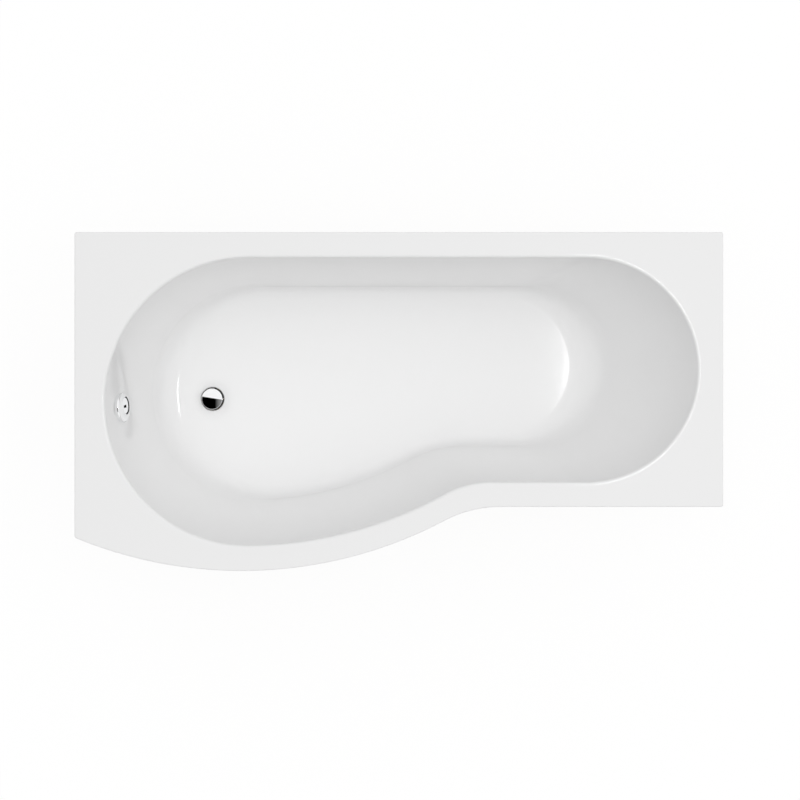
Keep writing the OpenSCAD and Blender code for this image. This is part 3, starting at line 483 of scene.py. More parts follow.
def prism(outline, low, high, radius=0.0006):
    """A flat outline of (x, y) points, raised from low to high."""
    bm = bmesh.new()
    verts = bmesh.ops.create_circle(bm, segments=len(outline), radius=1.0, cap_ends=True)["verts"]
    place_ring(verts, [Vector((x, y, low)) for x, y in outline])
    raised = bmesh.ops.extrude_face_region(bm, geom=list(bm.faces))["geom"]
    tops = [item for item in raised if isinstance(item, bmesh.types.BMVert)]
    bmesh.ops.translate(bm, vec=(0, 0, high - low), verts=tops)
    bmesh.ops.recalc_face_normals(bm, faces=bm.faces)
    if radius:
        soften(bm, radius)
    return bm


def block(low, high, radius=0.0006):
    """A box between two corners, with rounded edges."""
    low, high = Vector(low), Vector(high)
    bm = bmesh.new()
    bmesh.ops.create_cube(bm, size=1.0)
    size = high - low
    bmesh.ops.scale(bm, vec=size, verts=bm.verts)
    bmesh.ops.translate(bm, vec=(low + high) / 2, verts=bm.verts)
    if radius:
        soften(bm, radius)
    return bm


def around(count, make, place=Matrix.Identity(4), first=0.0):
    """Equal parts turned evenly about Z, the first of them by a share of a step."""
    step = 2 * math.pi / count
    return [moved(make(), place @ Matrix.Rotation((i + first) * step, 4, "Z")) for i in range(count)]


# %% Booleans
def as_object(bm, name):
    """A bmesh as an object of its own, with its faces turned outwards."""
    bmesh.ops.recalc_face_normals(bm, faces=bm.faces)
    mesh = bpy.data.meshes.new(name)
    bm.to_mesh(mesh)
    bm.free()
    made = bpy.data.objects.new(name, mesh)
    bpy.context.scene.collection.objects.link(made)
    return made


def carved(bm, cutter, operation="DIFFERENCE"):
    """The bmesh without what lies in a closed cutter, or only with that."""
    whole, tool = as_object(bm, "whole"), as_object(cutter, "tool")
    modifier = whole.modifiers.new("cut", "BOOLEAN")
    modifier.object = tool
    modifier.operation = operation
    modifier.solver = "EXACT"
    graph = bpy.context.evaluated_depsgraph_get()
    result = bpy.data.meshes.new_from_object(whole.evaluated_get(graph))
    fresh = bmesh.new()
    fresh.from_mesh(result)
    for used in (whole, tool):
        bpy.data.objects.remove(used)
    bpy.data.meshes.remove(result)
    return fresh


print("helpers ready")

# %% [markdown]
# The tub's outline
#
# In plan the tub is two circles of different size, joined by a straight back and by a front
# that bulges, hollows and runs straight. Every depth has the same kind of outline. Only its
# radii and centres change, so one function gives the outline at any depth, and moving it
# out by a distance gives the other face of the sheet. Each wall has a lean in degrees and the
# radius of the fillet at its foot.

# %% Driving sizes of the shell, in metres
RIM_LENGTH = 1.700
RIM_BACK = 0.444
RIM_FRONT = -0.276
RIM_BULGE = -0.444
BULGE_R = 1.143
WAIST_R = 0.319
WAIST_X = 0.268
CORNER_R = 0.006
CURVE_CORNER_R = 0.010
EDGE_R = 0.003
SKIRT = 0.025
SHELL = 0.005
DEPTH = 0.390
BACK_LEDGE = 0.0675
FRONT_LEDGE = 0.0655
BULGE_LEDGE = 0.0675
FOOT_LEDGE = 0.0795
HEAD_LEDGE = 0.068
OPENING_BULGE_R = 1.090
OPENING_WAIST_R = 0.253
OPENING_WAIST_X = 0.242
WAIST_SHIFT = 0.058
ROLL_R = 0.008
WALLS = {
    "back": (8.2, 0.030),
    "front": (13.4, 0.033),
    "bulge": (15.8, 0.038),
    "foot": (13.8, 0.090),
    "head": (30.0, 0.130),
}
print("rim of", RIM_LENGTH, "by", round(RIM_BACK - RIM_BULGE, 3), "m, tub", DEPTH, "m deep")

# %% How far each wall has come in at a depth
def wall_run(depth, wall):
    """A roll off the rim, a straight slope and a fillet into the floor."""
    degrees, fillet = WALLS[wall]
    slope = math.radians(degrees)
    roll_end = ROLL_R * (1 - math.sin(slope))
    roll_run = -ROLL_R * (1 - math.cos(slope))
    fillet_start = DEPTH - fillet * (1 - math.sin(slope))
    fillet_run = roll_run + (fillet_start - roll_end) * math.tan(slope)
    if depth < roll_end:
        return -ROLL_R + math.sqrt(max(0.0, ROLL_R ** 2 - (ROLL_R - depth) ** 2))
    if depth < fillet_start:
        return roll_run + (depth - roll_end) * math.tan(slope)
    down = math.sqrt(max(0.0, fillet ** 2 - (depth - DEPTH + fillet) ** 2))
    return fillet_run + fillet * math.cos(slope) - down


print("walls come in, in mm:", {wall: round(1000 * wall_run(DEPTH, wall)) for wall in WALLS})

# %% Runs, arcs and the point where two circles meet
def run_points(start, end, count):
    start, end = Vector(start), Vector(end)
    return [start + (end - start) * i / count for i in range(count)]


def arc_points(centre, radius, start, end, count):
    centre = Vector(centre)
    angles = [start + (end - start) * i / count for i in range(count)]
    return [centre + radius * Vector((math.cos(a), math.sin(a))) for a in angles]


def angle_to(start, end):
    return math.atan2(end[1] - start[1], end[0] - start[0])


def meet(a, radius_a, b, radius_b):
    """The point at those distances from a and b, on the left of the line from a to b."""
    a, b = Vector(a), Vector(b)
    span = (b - a).length
    along = (radius_a ** 2 - radius_b ** 2 + span ** 2) / (2 * span)
    up = math.sqrt(radius_a ** 2 - along ** 2)
    unit = (b - a) / span
    return a + along * unit + up * Vector((-unit.y, unit.x))


# %% The tub's outline at a depth
END_STEPS = 84
BACK_STEPS = 20
BULGE_STEPS = 44
WAIST_STEPS = 22
FRONT_STEPS = 12
CORNER_STEPS = 6
SIDE_STEPS = 16
QUARTER = math.pi / 2


class TubOutline:
    """Circles and arcs of the tub at one depth."""

    def __init__(self, depth):
        back = RIM_BACK - BACK_LEDGE - wall_run(depth, "back")
        self.back = back
        self.front = RIM_FRONT + FRONT_LEDGE + wall_run(depth, "front")
        bulge = RIM_BULGE + BULGE_LEDGE + wall_run(depth, "bulge")
        foot = FOOT_LEDGE - RIM_LENGTH / 2 + wall_run(depth, "foot")
        head = RIM_LENGTH / 2 - HEAD_LEDGE - wall_run(depth, "head")
        self.foot_r = (back - bulge) / 2
        self.head_r = (back - self.front) / 2
        self.foot_c = Vector((foot + self.foot_r, (back + bulge) / 2))
        self.head_c = Vector((head - self.head_r, (back + self.front) / 2))
        self.waist_r = OPENING_WAIST_R + wall_run(depth, "front")
        shift = WAIST_SHIFT * max(depth, 0.0) / DEPTH
        self.waist_c = Vector((OPENING_WAIST_X - shift, self.front - self.waist_r))
        self.bulge_r = OPENING_BULGE_R - wall_run(depth, "bulge")
        self.bulge_c = meet(
            self.foot_c, self.bulge_r - self.foot_r, self.waist_c, self.bulge_r + self.waist_r
        )

    def points(self, out=0.0):
        """The outline, moved out by a distance, from the narrow front round by the head."""
        meets_foot = angle_to(self.bulge_c, self.foot_c)
        meets_waist = angle_to(self.bulge_c, self.waist_c)
        back, front = self.back + out, self.front - out
        return (
            arc_points(self.head_c, self.head_r + out, -QUARTER, QUARTER, END_STEPS)
            + run_points((self.head_c.x, back), (self.foot_c.x, back), BACK_STEPS)
            + arc_points(self.foot_c, self.foot_r + out, QUARTER, 2 * math.pi + meets_foot, END_STEPS)
            + arc_points(self.bulge_c, self.bulge_r + out, meets_foot, meets_waist, BULGE_STEPS)
            + arc_points(self.waist_c, self.waist_r - out, meets_waist + math.pi, QUARTER, WAIST_STEPS)
            + run_points((self.waist_c.x, front), (self.head_c.x, front), FRONT_STEPS)
        )


opening = TubOutline(0.0)
floor_outline = TubOutline(DEPTH)
print("floor from x", round(min(p.x for p in floor_outline.points()), 3),
      "to", round(max(p.x for p in floor_outline.points()), 3))

# %% The rim's outline, drawn in by a distance
SMALLEST_CORNER = 0.0005


def rim_centres():
    """Centres of the rim's hollow and of its bulge."""
    waist_c = Vector((WAIST_X, RIM_FRONT - WAIST_R))
    bulge_y = RIM_BULGE + BULGE_R
    reach = math.sqrt((BULGE_R + WAIST_R) ** 2 - (bulge_y - waist_c.y) ** 2)
    return waist_c, Vector((WAIST_X - reach, bulge_y))


def rim_points(inset):
    corner = max(CORNER_R - inset, SMALLEST_CORNER)
    curve_corner = max(CURVE_CORNER_R - inset, SMALLEST_CORNER)
    left, right = inset - RIM_LENGTH / 2, RIM_LENGTH / 2 - inset
    back, front = RIM_BACK - inset, RIM_FRONT + inset
    waist_c, bulge_c = rim_centres()
    big = BULGE_R - inset
    fillet_x = left + curve_corner
    drop = math.sqrt((big - curve_corner) ** 2 - (fillet_x - bulge_c.x) ** 2)
    fillet_c = Vector((fillet_x, bulge_c.y - drop))
    corner_end = angle_to(bulge_c, fillet_c)
    waist_at = angle_to(bulge_c, waist_c)
    long_steps = END_STEPS - 2 * SIDE_STEPS - 2 * CORNER_STEPS
    head_x, foot_x = opening.head_c.x, opening.foot_c.x
    return (
        run_points((head_x, front), (right - corner, front), SIDE_STEPS)
        + arc_points((right - corner, front + corner), corner, -QUARTER, 0.0, CORNER_STEPS)
        + run_points((right, front + corner), (right, back - corner), long_steps)
        + arc_points((right - corner, back - corner), corner, 0.0, QUARTER, CORNER_STEPS)
        + run_points((right - corner, back), (head_x, back), SIDE_STEPS)
        + run_points((head_x, back), (foot_x, back), BACK_STEPS)
        + run_points((foot_x, back), (left + corner, back), SIDE_STEPS)
        + arc_points((left + corner, back - corner), corner, QUARTER, 2 * QUARTER, CORNER_STEPS)
        + run_points((left, back - corner), (left, fillet_c.y), long_steps)
        + arc_points(fillet_c, curve_corner, -2 * QUARTER, corner_end, CORNER_STEPS)
        + arc_points(bulge_c, big, corner_end, -QUARTER, SIDE_STEPS)
        + arc_points(bulge_c, big, -QUARTER, waist_at, BULGE_STEPS)
        + arc_points(waist_c, WAIST_R + inset, waist_at + math.pi, QUARTER, WAIST_STEPS)
        + run_points((WAIST_X, front), (head_x, front), FRONT_STEPS)
    )


print("points in a ring:", len(rim_points(0.0)), "on the rim,", len(opening.points()), "in the tub")

# %% [markdown]
# The moulded shell
#
# Real shells are drawn from one sheet of acrylic, then sprayed with glass fibre behind. So
# the shell is made as two pieces with the true seam between them. Each is a loft through
# closed rings: from the floor up the wall and out along the rim, and back along its other
# face. A dish round the waste then closes both faces to the same hole.

# %% Depths of the rings, close together where the sheet bends
FILLET_STEPS = 26
SLOPE_STEPS = 8
ROLL_STEPS = 7
head_slope = math.radians(WALLS["head"][0])
head_fillet = WALLS["head"][1]
fillet_top = DEPTH - head_fillet * (1 - math.sin(head_slope))
fillet_depths = [
    DEPTH - head_fillet * (1 - math.cos(i * (QUARTER - head_slope) / FILLET_STEPS))
    for i in range(FILLET_STEPS + 1)
]
slope_depths = [
    fillet_top + (ROLL_R - fillet_top) * i / SLOPE_STEPS for i in range(1, SLOPE_STEPS + 1)
]
roll_depths = [
    ROLL_R * (1 - math.sin(i * QUARTER / ROLL_STEPS)) for i in range(1, ROLL_STEPS + 1)
]
print("rings on the inside:", len(fillet_depths) + len(slope_depths) + len(roll_depths))


def surface_angle(depth):
    """Lean of the surface at a depth, which the sheet's thickness is measured square to."""
    degrees, fillet = WALLS["front"]
    slope = math.radians(degrees)
    if depth < DEPTH - fillet * (1 - math.sin(slope)):
        return QUARTER - slope
    return math.acos(min(1.0, (depth - DEPTH + fillet) / fillet))


def lifted(points, z):
    return [Vector((p.x, p.y, z)) for p in points]


def inner_ring(depth):
    return lifted(TubOutline(depth).points(), RIM_HEIGHT - depth)


def offset_ring(depth, thickness):
    lean = surface_angle(depth)
    z = RIM_HEIGHT - depth - thickness * math.cos(lean)
    return lifted(TubOutline(depth).points(thickness * math.sin(lean)), z)


def back_face(thickness):
    """Rings of the sheet's hidden face, from the rim down to the floor."""
    depths = slope_depths[-2::-1] + fillet_depths[::-1]
    return [offset_ring(depth, thickness) for depth in depths]


# %% Floor and dish round the waste
WASTE = Vector((-0.531, 0.007))
DISH_STEPS = 96
FLOOR_Z = RIM_HEIGHT - DEPTH


def circle_ring(radius, z):
    points = arc_points(WASTE, radius, 0.0, 2 * math.pi, DISH_STEPS)
    return lifted(points, z)


def add_dish(bm, floor_ring, profile):
    """Fills the floor out to a circle round the waste and lofts the dish inside it."""
    rings = [circle_ring(radius, z) for radius, z in profile]
    first, last = loft(bm, rings)
    edges = ring_edges(bm, floor_ring) + ring_edges(bm, first)
    bmesh.ops.triangle_fill(bm, use_beauty=True, use_dissolve=False, edges=edges, normal=(0, 0, 1))
    return last


print("floor", round(1000 * FLOOR_Z), "mm above the ground")

# %% The acrylic sheet
ACRYLIC = 0.0032
HOLD_RING = 0.0015
EDGE_STEPS = 5
SKIRT_STEPS = 6
BEND = 0.003
TURN_IN = 0.006
DISH_PROFILE = [
    (0.072, 0.0), (0.064, -0.0002), (0.056, -0.0008), (0.050, -0.0017), (0.045, -0.0028),
    (0.041, -0.0037), (0.0385, -0.0040), (0.0375, -0.0040), (0.030, -0.0040), (0.0268, -0.0040),
    (0.0262, -0.0042), (0.0260, -0.0048),
]
UNDER_DISH = [
    (0.064, 0.0), (0.052, -0.0003), (0.048, -0.0012), (0.045, -0.0030), (0.042, -0.0038),
    (0.038, -0.0040), (0.0262, -0.0040), (0.0260, -0.0038),
]


def edge_rings():
    """The rim's rounded top edge, from the flat down to the skirt."""
    rings = []
    for step in range(EDGE_STEPS + 1):
        turn = step * QUARTER / EDGE_STEPS
        inset, drop = EDGE_R * (1 - math.sin(turn)), EDGE_R * (1 - math.cos(turn))
        rings.append(lifted(rim_points(inset), RIM_HEIGHT - drop))
    return rings


def skirt_rings(outer, inner, low, top):
    """Down the skirt's face, round its lower edge and up its back."""
    round_r = (inner - outer) / 2
    rings = [lifted(rim_points(outer), (low + top) / 2)]
    for step in range(SKIRT_STEPS + 1):
        turn = step * math.pi / SKIRT_STEPS
        across = outer + round_r * (1 - math.cos(turn))
        rings.append(lifted(rim_points(across), low + round_r * (1 - math.sin(turn))))
    rings.append(lifted(rim_points(inner), top))
    return rings


def make_acrylic_shell():
    """The glossy sheet. Rings beside each bend keep the floor and the rim truly flat."""
    bm = bmesh.new()
    flat_floor = lifted(floor_outline.points(-HOLD_RING), FLOOR_Z)
    flat_rim = [lifted(points, RIM_HEIGHT) for points in (
        opening.points(HOLD_RING), rim_points(EDGE_R + HOLD_RING)
    )]
    inside = [flat_floor] + [inner_ring(d) for d in fillet_depths + slope_depths + roll_depths]
    under_top = RIM_HEIGHT - ACRYLIC
    turn_in = lifted(TubOutline(ROLL_R).points(ACRYLIC + TURN_IN), under_top)
    rings = (
        inside + flat_rim + edge_rings()
        + skirt_rings(0.0, ACRYLIC, RIM_HEIGHT - SKIRT, under_top - BEND)
        + [lifted(rim_points(ACRYLIC + BEND), under_top), turn_in]
        + back_face(ACRYLIC)
    )
    first, last = loft(bm, rings)
    top_dish = add_dish(bm, first, [(r, FLOOR_Z + z) for r, z in DISH_PROFILE])
    under = [(r, FLOOR_Z - ACRYLIC + z) for r, z in UNDER_DISH]
    under_dish = add_dish(bm, last, under)
    bmesh.ops.bridge_loops(bm, edges=ring_edges(bm, top_dish) + ring_edges(bm, under_dish))
    return bm


print("acrylic", round(1000 * ACRYLIC, 1), "mm thick")

# %% The glass fibre coat behind the acrylic
SEAM_GAP = 0.00005
COAT_BEND = 0.004
COAT_DISH = [
    (0.068, 0.0), (0.054, -0.0003), (0.050, -0.0016), (0.0485, -0.0034), (0.046, -0.0040),
    (0.027, -0.0040), (0.0260, -0.0038),
]


def coat_side(inset, low, bend, turn_in):
    """One side of the sprayed coat, from inside the skirt under the rim and down to the floor."""
    top = RIM_HEIGHT - inset
    return [
        lifted(rim_points(inset), low), lifted(rim_points(inset), top - bend),
        lifted(rim_points(inset + bend), top),
        lifted(TubOutline(ROLL_R).points(inset + turn_in), top),
    ] + back_face(inset)


def make_fibre_coat():
    """The sprayed back: it starts inside the skirt and covers the whole underside."""
    bm = bmesh.new()
    near, far = ACRYLIC + SEAM_GAP, SHELL
    low = RIM_HEIGHT - SKIRT + BEND
    near_side = coat_side(near, low, BEND, TURN_IN)
    far_side = coat_side(far, low + (SHELL - ACRYLIC) / 2, COAT_BEND, COAT_BEND)
    first, last = loft(bm, near_side[::-1] + far_side)
    near_dish = add_dish(bm, first, [(r, FLOOR_Z - near + z) for r, z in UNDER_DISH])
    far_dish = add_dish(bm, last, [(r, FLOOR_Z - far + z) for r, z in COAT_DISH])
    bmesh.ops.bridge_loops(bm, edges=ring_edges(bm, near_dish) + ring_edges(bm, far_dish))
    return bm


print("coat", round(1000 * (SHELL - ACRYLIC), 1), "mm thick")

# %% [markdown]
# The overflow's hole
#
# A Boolean cuts the overflow's hole, because it crosses the rings of the loft at a slant.
# The rough edge that a Boolean leaves in smooth shading is hidden by the chrome cover.

# %% Cut the overflow's hole and finish both sheets
OVERFLOW_DEPTH = 0.100
OVERFLOW_Y = -0.017
at_overflow_depth = TubOutline(OVERFLOW_DEPTH)
overflow_turn = math.asin((at_overflow_depth.foot_c.y - OVERFLOW_Y) / at_overflow_depth.foot_r)
overflow_place = Matrix.Translation((
    at_overflow_depth.foot_c.x - at_overflow_depth.foot_r * math.cos(overflow_turn),
    OVERFLOW_Y, RIM_HEIGHT - OVERFLOW_DEPTH,
)) @ Matrix.Rotation(overflow_turn, 4, "Z") @ Matrix.Rotation(
    QUARTER - math.radians(WALLS["foot"][0]), 4, "Y"
)
OVERFLOW_HOLE_R = 0.030


def with_overflow_hole(bm):
    r = OVERFLOW_HOLE_R
    hole = [(0.0, -r), (r, -r), (r, r), (0.0, r)]
    return carved(bm, lathe(hole, radius=0, closed=False, at=overflow_place))


acrylic_shell = finish_piece(
    "acrylic_shell", with_overflow_hole(make_acrylic_shell()), acrylic, "tub", ["tub_shell"],
    sharp=60.0,
)
fibre_coat = finish_piece(
    "glass_fibre_coat", with_overflow_hole(make_fibre_coat()), glass_fibre, "tub", ["tub_shell"],
    sharp=60.0,
)
print("shell faces:", len(acrylic_shell.data.polygons), len(fibre_coat.data.polygons))

# %% [markdown]
# Studio
#
# The photograph has a large even light overhead, and a little more light from the right and
# from the wall side than from the other two. The dome of the world gives that: one soft lobe
# of light round each direction. A lamp over the head end adds the thin bright streak at each
# end of the tub's floor, where the sheet bends and mirrors it.

# %% A dome of light, brighter where the studio has its large soft lights
scene = bpy.context.scene
scene.view_settings.view_transform = "Standard"
DOME_LIGHTS = [
    ((0.0, 0.0, 1.0), 1.60),
    ((1.0, 0.0, 0.8), 1.48),
    ((-1.0, 0.0, 0.8), 0.90),
    ((0.0, 1.0, 0.8), 1.22),
    ((0.0, -1.0, 0.8), 0.82),
]
DOME_SPREAD = 8.0
WHITE = 1.0

world = bpy.data.worlds.new("studio")
scene.world = world
world.use_nodes = True


def soft_light(direction, strength):
    """Light from round one direction of the dome: the cosine to it, raised to a power."""
    at = add_node(world, "ShaderNodeTexCoord")
    dot = add_node(world, "ShaderNodeVectorMath", operation="DOT_PRODUCT")
    dot.inputs[1].default_value = Vector(direction).normalized()
    wire(world, at, "Generated", dot, 0)
    toward = math_of(world, "MAXIMUM", dot.outputs["Value"], 0.0)
    return math_of(world, "MULTIPLY", math_of(world, "POWER", toward, DOME_SPREAD), strength)


dome = 0.0
for light_direction, light_strength in DOME_LIGHTS:
    dome = math_of(world, "ADD", soft_light(light_direction, light_strength), dome)
path = add_node(world, "ShaderNodeLightPath")
white_seen = math_of(
    world, "MAXIMUM", path.outputs["Is Camera Ray"], path.outputs["Is Transmission Ray"]
)
white_seen = math_of(world, "MAXIMUM", white_seen, path.outputs["Is Glossy Ray"])
dome_or_white = add_node(world, "ShaderNodeMix", B=WHITE)
world.node_tree.links.new(dome, dome_or_white.inputs["A"])
world.node_tree.links.new(white_seen, dome_or_white.inputs["Factor"])
background = world.node_tree.nodes["Background"]
background.inputs["Color"].default_value = (1.0, 1.0, 1.0, 1.0)
wire(world, dome_or_white, "Result", background, "Strength")
print("lobes of the dome:", len(DOME_LIGHTS))

# %% The floor
FLOOR_SIZE = 16.0
FLOOR_DROP = 0.0005
FLOOR_GLOW = 1.02
FLOOR_SHARE = 0.90


def add_plane(name, size, matrix, material):
    bm = bmesh.new()
    bmesh.ops.create_grid(bm, x_segments=1, y_segments=1, size=0.5)
    bmesh.ops.scale(bm, vec=(size[0], size[1], 1.0), verts=bm.verts)
    moved(bm, matrix)
    mesh = bpy.data.meshes.new(name)
    bm.to_mesh(mesh)
    bm.free()
    mesh.materials.append(material)
    plane = bpy.data.objects.new(name, mesh)
    scene.collection.objects.link(plane)
    return plane


def blend_surfaces(material, share, first, second):
    """The surface turns from the first shader into the second by a share."""
    mix = add_node(material, "ShaderNodeMixShader")
    links = material.node_tree.links
    links.new(share, mix.inputs["Fac"])
    links.new(first.outputs[0], mix.inputs[1])
    links.new(second.outputs[0], mix.inputs[2])
    wire(material, mix, "Shader", material.node_tree.nodes["Material Output"], "Surface")


def make_floor_material():
    """White where the camera or a mirror sees it, with a share of real shading for the shadow."""
    material = new_material("studio_floor", grey(0.90), 0.9)
    ray = add_node(material, "ShaderNodeLightPath")
    seen = math_of(material, "MAXIMUM", ray.outputs["Is Camera Ray"], ray.outputs["Is Glossy Ray"])
    glow = add_node(material, "ShaderNodeEmission", Strength=FLOOR_GLOW)
    shaded = material.node_tree.nodes["Principled BSDF"]
    blend_surfaces(material, math_of(material, "MULTIPLY", seen, FLOOR_SHARE), shaded, glow)
    return material


floor_place = Matrix.Translation((0, 0, -FLOOR_DROP))
floor = add_plane("studio_floor", (FLOOR_SIZE, FLOOR_SIZE), floor_place, make_floor_material())
print("made:", floor.name)

# %% [markdown]
# Lamp and cards
#
# The lower half of the chrome plug is black, because it mirrors a dark studio. A card over
# the bath stands for that, and a second one past the backrest does the same for the shoulder
# of the overflow's cover. Only a perfect mirror's rays meet them, so the acrylic stays clear
# of them: chrome has no roughness at all, and acrylic has some. The lamp works the other way
# round. Mirrors pass it by, and the acrylic shows it in its first reflection alone.

# %% A lamp for the streaks
STREAK_AT = (0.96, 0.13, 3.87)
STREAK_SIZE = (0.24, 0.60)
STREAK_POWER = 6.5


def within(owner, ray, bounces):
    """1 up to so many glossy bounces, and 0 past them."""
    return math_of(owner, "LESS_THAN", ray.outputs["Glossy Depth"], bounces + 0.5)


def add_lamp(name, place, size, power):
    """A rectangle of light that faces straight down and that only slightly rough gloss shows."""
    data = bpy.data.lights.new(name, "AREA")
    data.use_nodes = True
    ray = add_node(data, "ShaderNodeLightPath")
    shown = math_of(data, "SUBTRACT", within(data, ray, 1), ray.outputs["Is Singular Ray"])
    shown.node.use_clamp = True
    data.node_tree.links.new(shown, data.node_tree.nodes["Emission"].inputs["Strength"])
    data.shape = "RECTANGLE"
    data.size, data.size_y = size
    data.energy = power
    lamp = bpy.data.objects.new(name, data)
    lamp.location = place
    scene.collection.objects.link(lamp)
    return lamp


lamp = add_lamp("streak_strip", STREAK_AT, STREAK_SIZE, STREAK_POWER)
print("made:", lamp.name)

# %% Two dark cards for the chrome
CARD_EDGE = Vector((WASTE.x - 0.12, WASTE.y + 0.06, 3.0))
CARD_SIZE = (2.6, 1.5)
CARD_TURN = math.radians(-9.0)
CARD_FADE = (0.13, 0.55)
CARD_GREY = 0.24
FAR_CARD_AT = Vector((1.7, 0.06, 3.0))
FAR_CARD_SIZE = (1.6, 0.36)


def make_card_material(name, grey_end, bounces):
    """Seen by a perfect mirror alone: black, fading to a grey towards the backrest."""
    material = new_material(name, grey(0.0), 1.0)
    at = add_node(material, "ShaderNodeTexCoord")
    apart = add_node(material, "ShaderNodeSeparateXYZ")
    wire(material, at, "Object", apart, "Vector")
    fade_start, fade_end = (CARD_EDGE.x + part for part in CARD_FADE)
    fade = add_node(
        material, "ShaderNodeMapRange",
        **{"From Min": fade_start, "From Max": fade_end, "To Max": grey_end},
    )
    wire(material, apart, "X", fade, "Value")
    glow = add_node(material, "ShaderNodeEmission")
    wire(material, fade, "Result", glow, "Strength")
    clear = add_node(material, "ShaderNodeBsdfTransparent")
    ray = add_node(material, "ShaderNodeLightPath")
    shown = math_of(
        material, "MULTIPLY", ray.outputs["Is Singular Ray"], within(material, ray, bounces)
    )
    blend_surfaces(material, shown, clear, glow)
    return material


def add_card(name, size, matrix, grey_end, bounces):
    card = add_plane(name, size, matrix, make_card_material(name, grey_end, bounces))
    card.visible_camera = False
    card.visible_diffuse = False
    card.visible_shadow = False
    card.visible_transmission = False
    return card


card_place = (
    Matrix.Translation(CARD_EDGE) @ Matrix.Rotation(CARD_TURN, 4, "Z")
    @ Matrix.Translation((0.0, -CARD_SIZE[1] / 2, 0.0))
)
dark_card = add_card("dark_card", CARD_SIZE, card_place, CARD_GREY, 1)
far_card = add_card("far_card", FAR_CARD_SIZE, Matrix.Translation(FAR_CARD_AT), 0.0, 2)
print("made:", dark_card.name, far_card.name)

# %% [markdown]
# The chrome waste
#
# The spring holds the plug a little under 9 mm above its flange, and 8.5 mm of that is the way
# it can be pressed. Its dome is a shallow cap of a sphere. Plug and flange are turned on a
# lathe, so a spun profile with rounded corners makes each of them, and the flange gets four
# spokes that carry the hub of the cartridge.

# %% Flange and plug cap
flange_low, flange_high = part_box("waste_flange")
cap_low, cap_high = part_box("plug_cap")
WASTE_CENTRE = (flange_low + flange_high) / 2
WASTE_CENTRE.z = 0.0
waste_place = Matrix.Translation(WASTE_CENTRE)
FLANGE_R = (flange_high.x - flange_low.x) / 2
FLANGE_TOP = flange_high.z
CAP_R = (cap_high.x - cap_low.x) / 2
CAP_TOP = cap_high.z
CAP_BOSS_R = 0.007
CAP_BOSS_T = 0.0053
CAP_EDGE = 0.0025
CAP_UNDER = cap_low.z + CAP_BOSS_T
FLANGE_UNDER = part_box("waste_flange_seal")[1].z
FLANGE_DISH = 0.0024
NECK_R = 0.0239
NECK_BORE_R = 0.0215
NECK_END = flange_low.z
CARTRIDGE_R = 0.00645
HUB_R = CARTRIDGE_R + 0.0025
HUB_BORE_R = CARTRIDGE_R + 0.0001
BRIDGE_LOW = NECK_END + 0.002
BRIDGE_HIGH = BRIDGE_LOW + 0.008
SPOKE_HALF = 0.0015
SINK = 0.0005


def dome_profile(radius, low, high, steps=14):
    """Points over a shallow dome from its edge to its crown."""
    rise = high - low
    sphere = (radius ** 2 + rise ** 2) / (2 * rise)
    half = math.asin(radius / sphere)
    turns = [half * (1 - i / steps) for i in range(steps + 1)]
    return [(sphere * math.sin(turn), high - sphere * (1 - math.cos(turn))) for turn in turns]


def make_plug_cap():
    under = [(0.0, cap_low.z), (CAP_BOSS_R, cap_low.z), (CAP_BOSS_R, CAP_UNDER + 0.0003),
             (CAP_R - 0.0015, CAP_UNDER + 0.0003), (CAP_R - 0.0004, CAP_UNDER)]
    edge = [(CAP_R, CAP_UNDER + 0.0006), (CAP_R, CAP_UNDER + CAP_EDGE - 0.0006)]
    dome = dome_profile(CAP_R - 0.0006, CAP_UNDER + CAP_EDGE, CAP_TOP)
    return lathe(under + edge + dome, radius=0.0004, steps=128, closed=False, at=waste_place)


def make_flange():
    """A ring that dishes towards its bore, so that it mirrors the dark under the plug."""
    outside = [(FLANGE_R - 0.0008, FLANGE_TOP), (FLANGE_R, FLANGE_TOP - 0.0010),
               (FLANGE_R, FLANGE_UNDER), (NECK_R, FLANGE_UNDER), (NECK_R, NECK_END)]
    inside = [(NECK_BORE_R, NECK_END), (NECK_BORE_R, FLANGE_UNDER),
              (NECK_BORE_R + 0.0022, FLANGE_TOP - FLANGE_DISH)]
    body = lathe(outside + inside, radius=0.0004, steps=128, at=waste_place)
    hub = lathe([
        (HUB_R, BRIDGE_LOW), (HUB_R, BRIDGE_HIGH), (HUB_BORE_R, BRIDGE_HIGH), (HUB_BORE_R, BRIDGE_LOW),
    ], at=waste_place)
    spokes = around(4, lambda: block(
        (HUB_R - SINK, -SPOKE_HALF, BRIDGE_LOW), (NECK_BORE_R + SINK, SPOKE_HALF, BRIDGE_HIGH)
    ), waste_place)
    return merged([body, hub] + spokes)


finish_piece("plug_dome", make_plug_cap(), chrome, "plug", ["plug_cap"], sharp=50.0)
finish_piece("flange_ring", make_flange(), chrome, "tub", ["waste_flange"], sharp=50.0)
print("plug stands", round((CAP_UNDER - FLANGE_TOP) * 1000, 2), "mm above its flange")

# %% [markdown]
# The overflow cover
#
# The cover is a shallow chrome cup pushed over the inner plate, with a slot in its lower
# edge for the water. It is spun, then the slot is cut with a Boolean.

# %% Overflow cover
COVER_R = 0.040
COVER_BORE_R = 0.0363
COVER_H = 0.014
COVER_DOME = 0.0008
COVER_LOW = 0.0004


def cover_profile():
    """A cup with a gently domed face, a round shoulder and an open back."""
    edge = COVER_H - COVER_DOME
    face = dome_profile(COVER_R - 0.0036, edge, COVER_H)[::-1]
    side = [(COVER_R - 0.0008, edge - 0.0022), (COVER_R, edge - 0.0042), (COVER_R, COVER_LOW)]
    back = [(COVER_BORE_R, COVER_LOW), (COVER_BORE_R, edge - 0.0038), (0.0, COVER_H - 0.0028)]
    return face + side + back


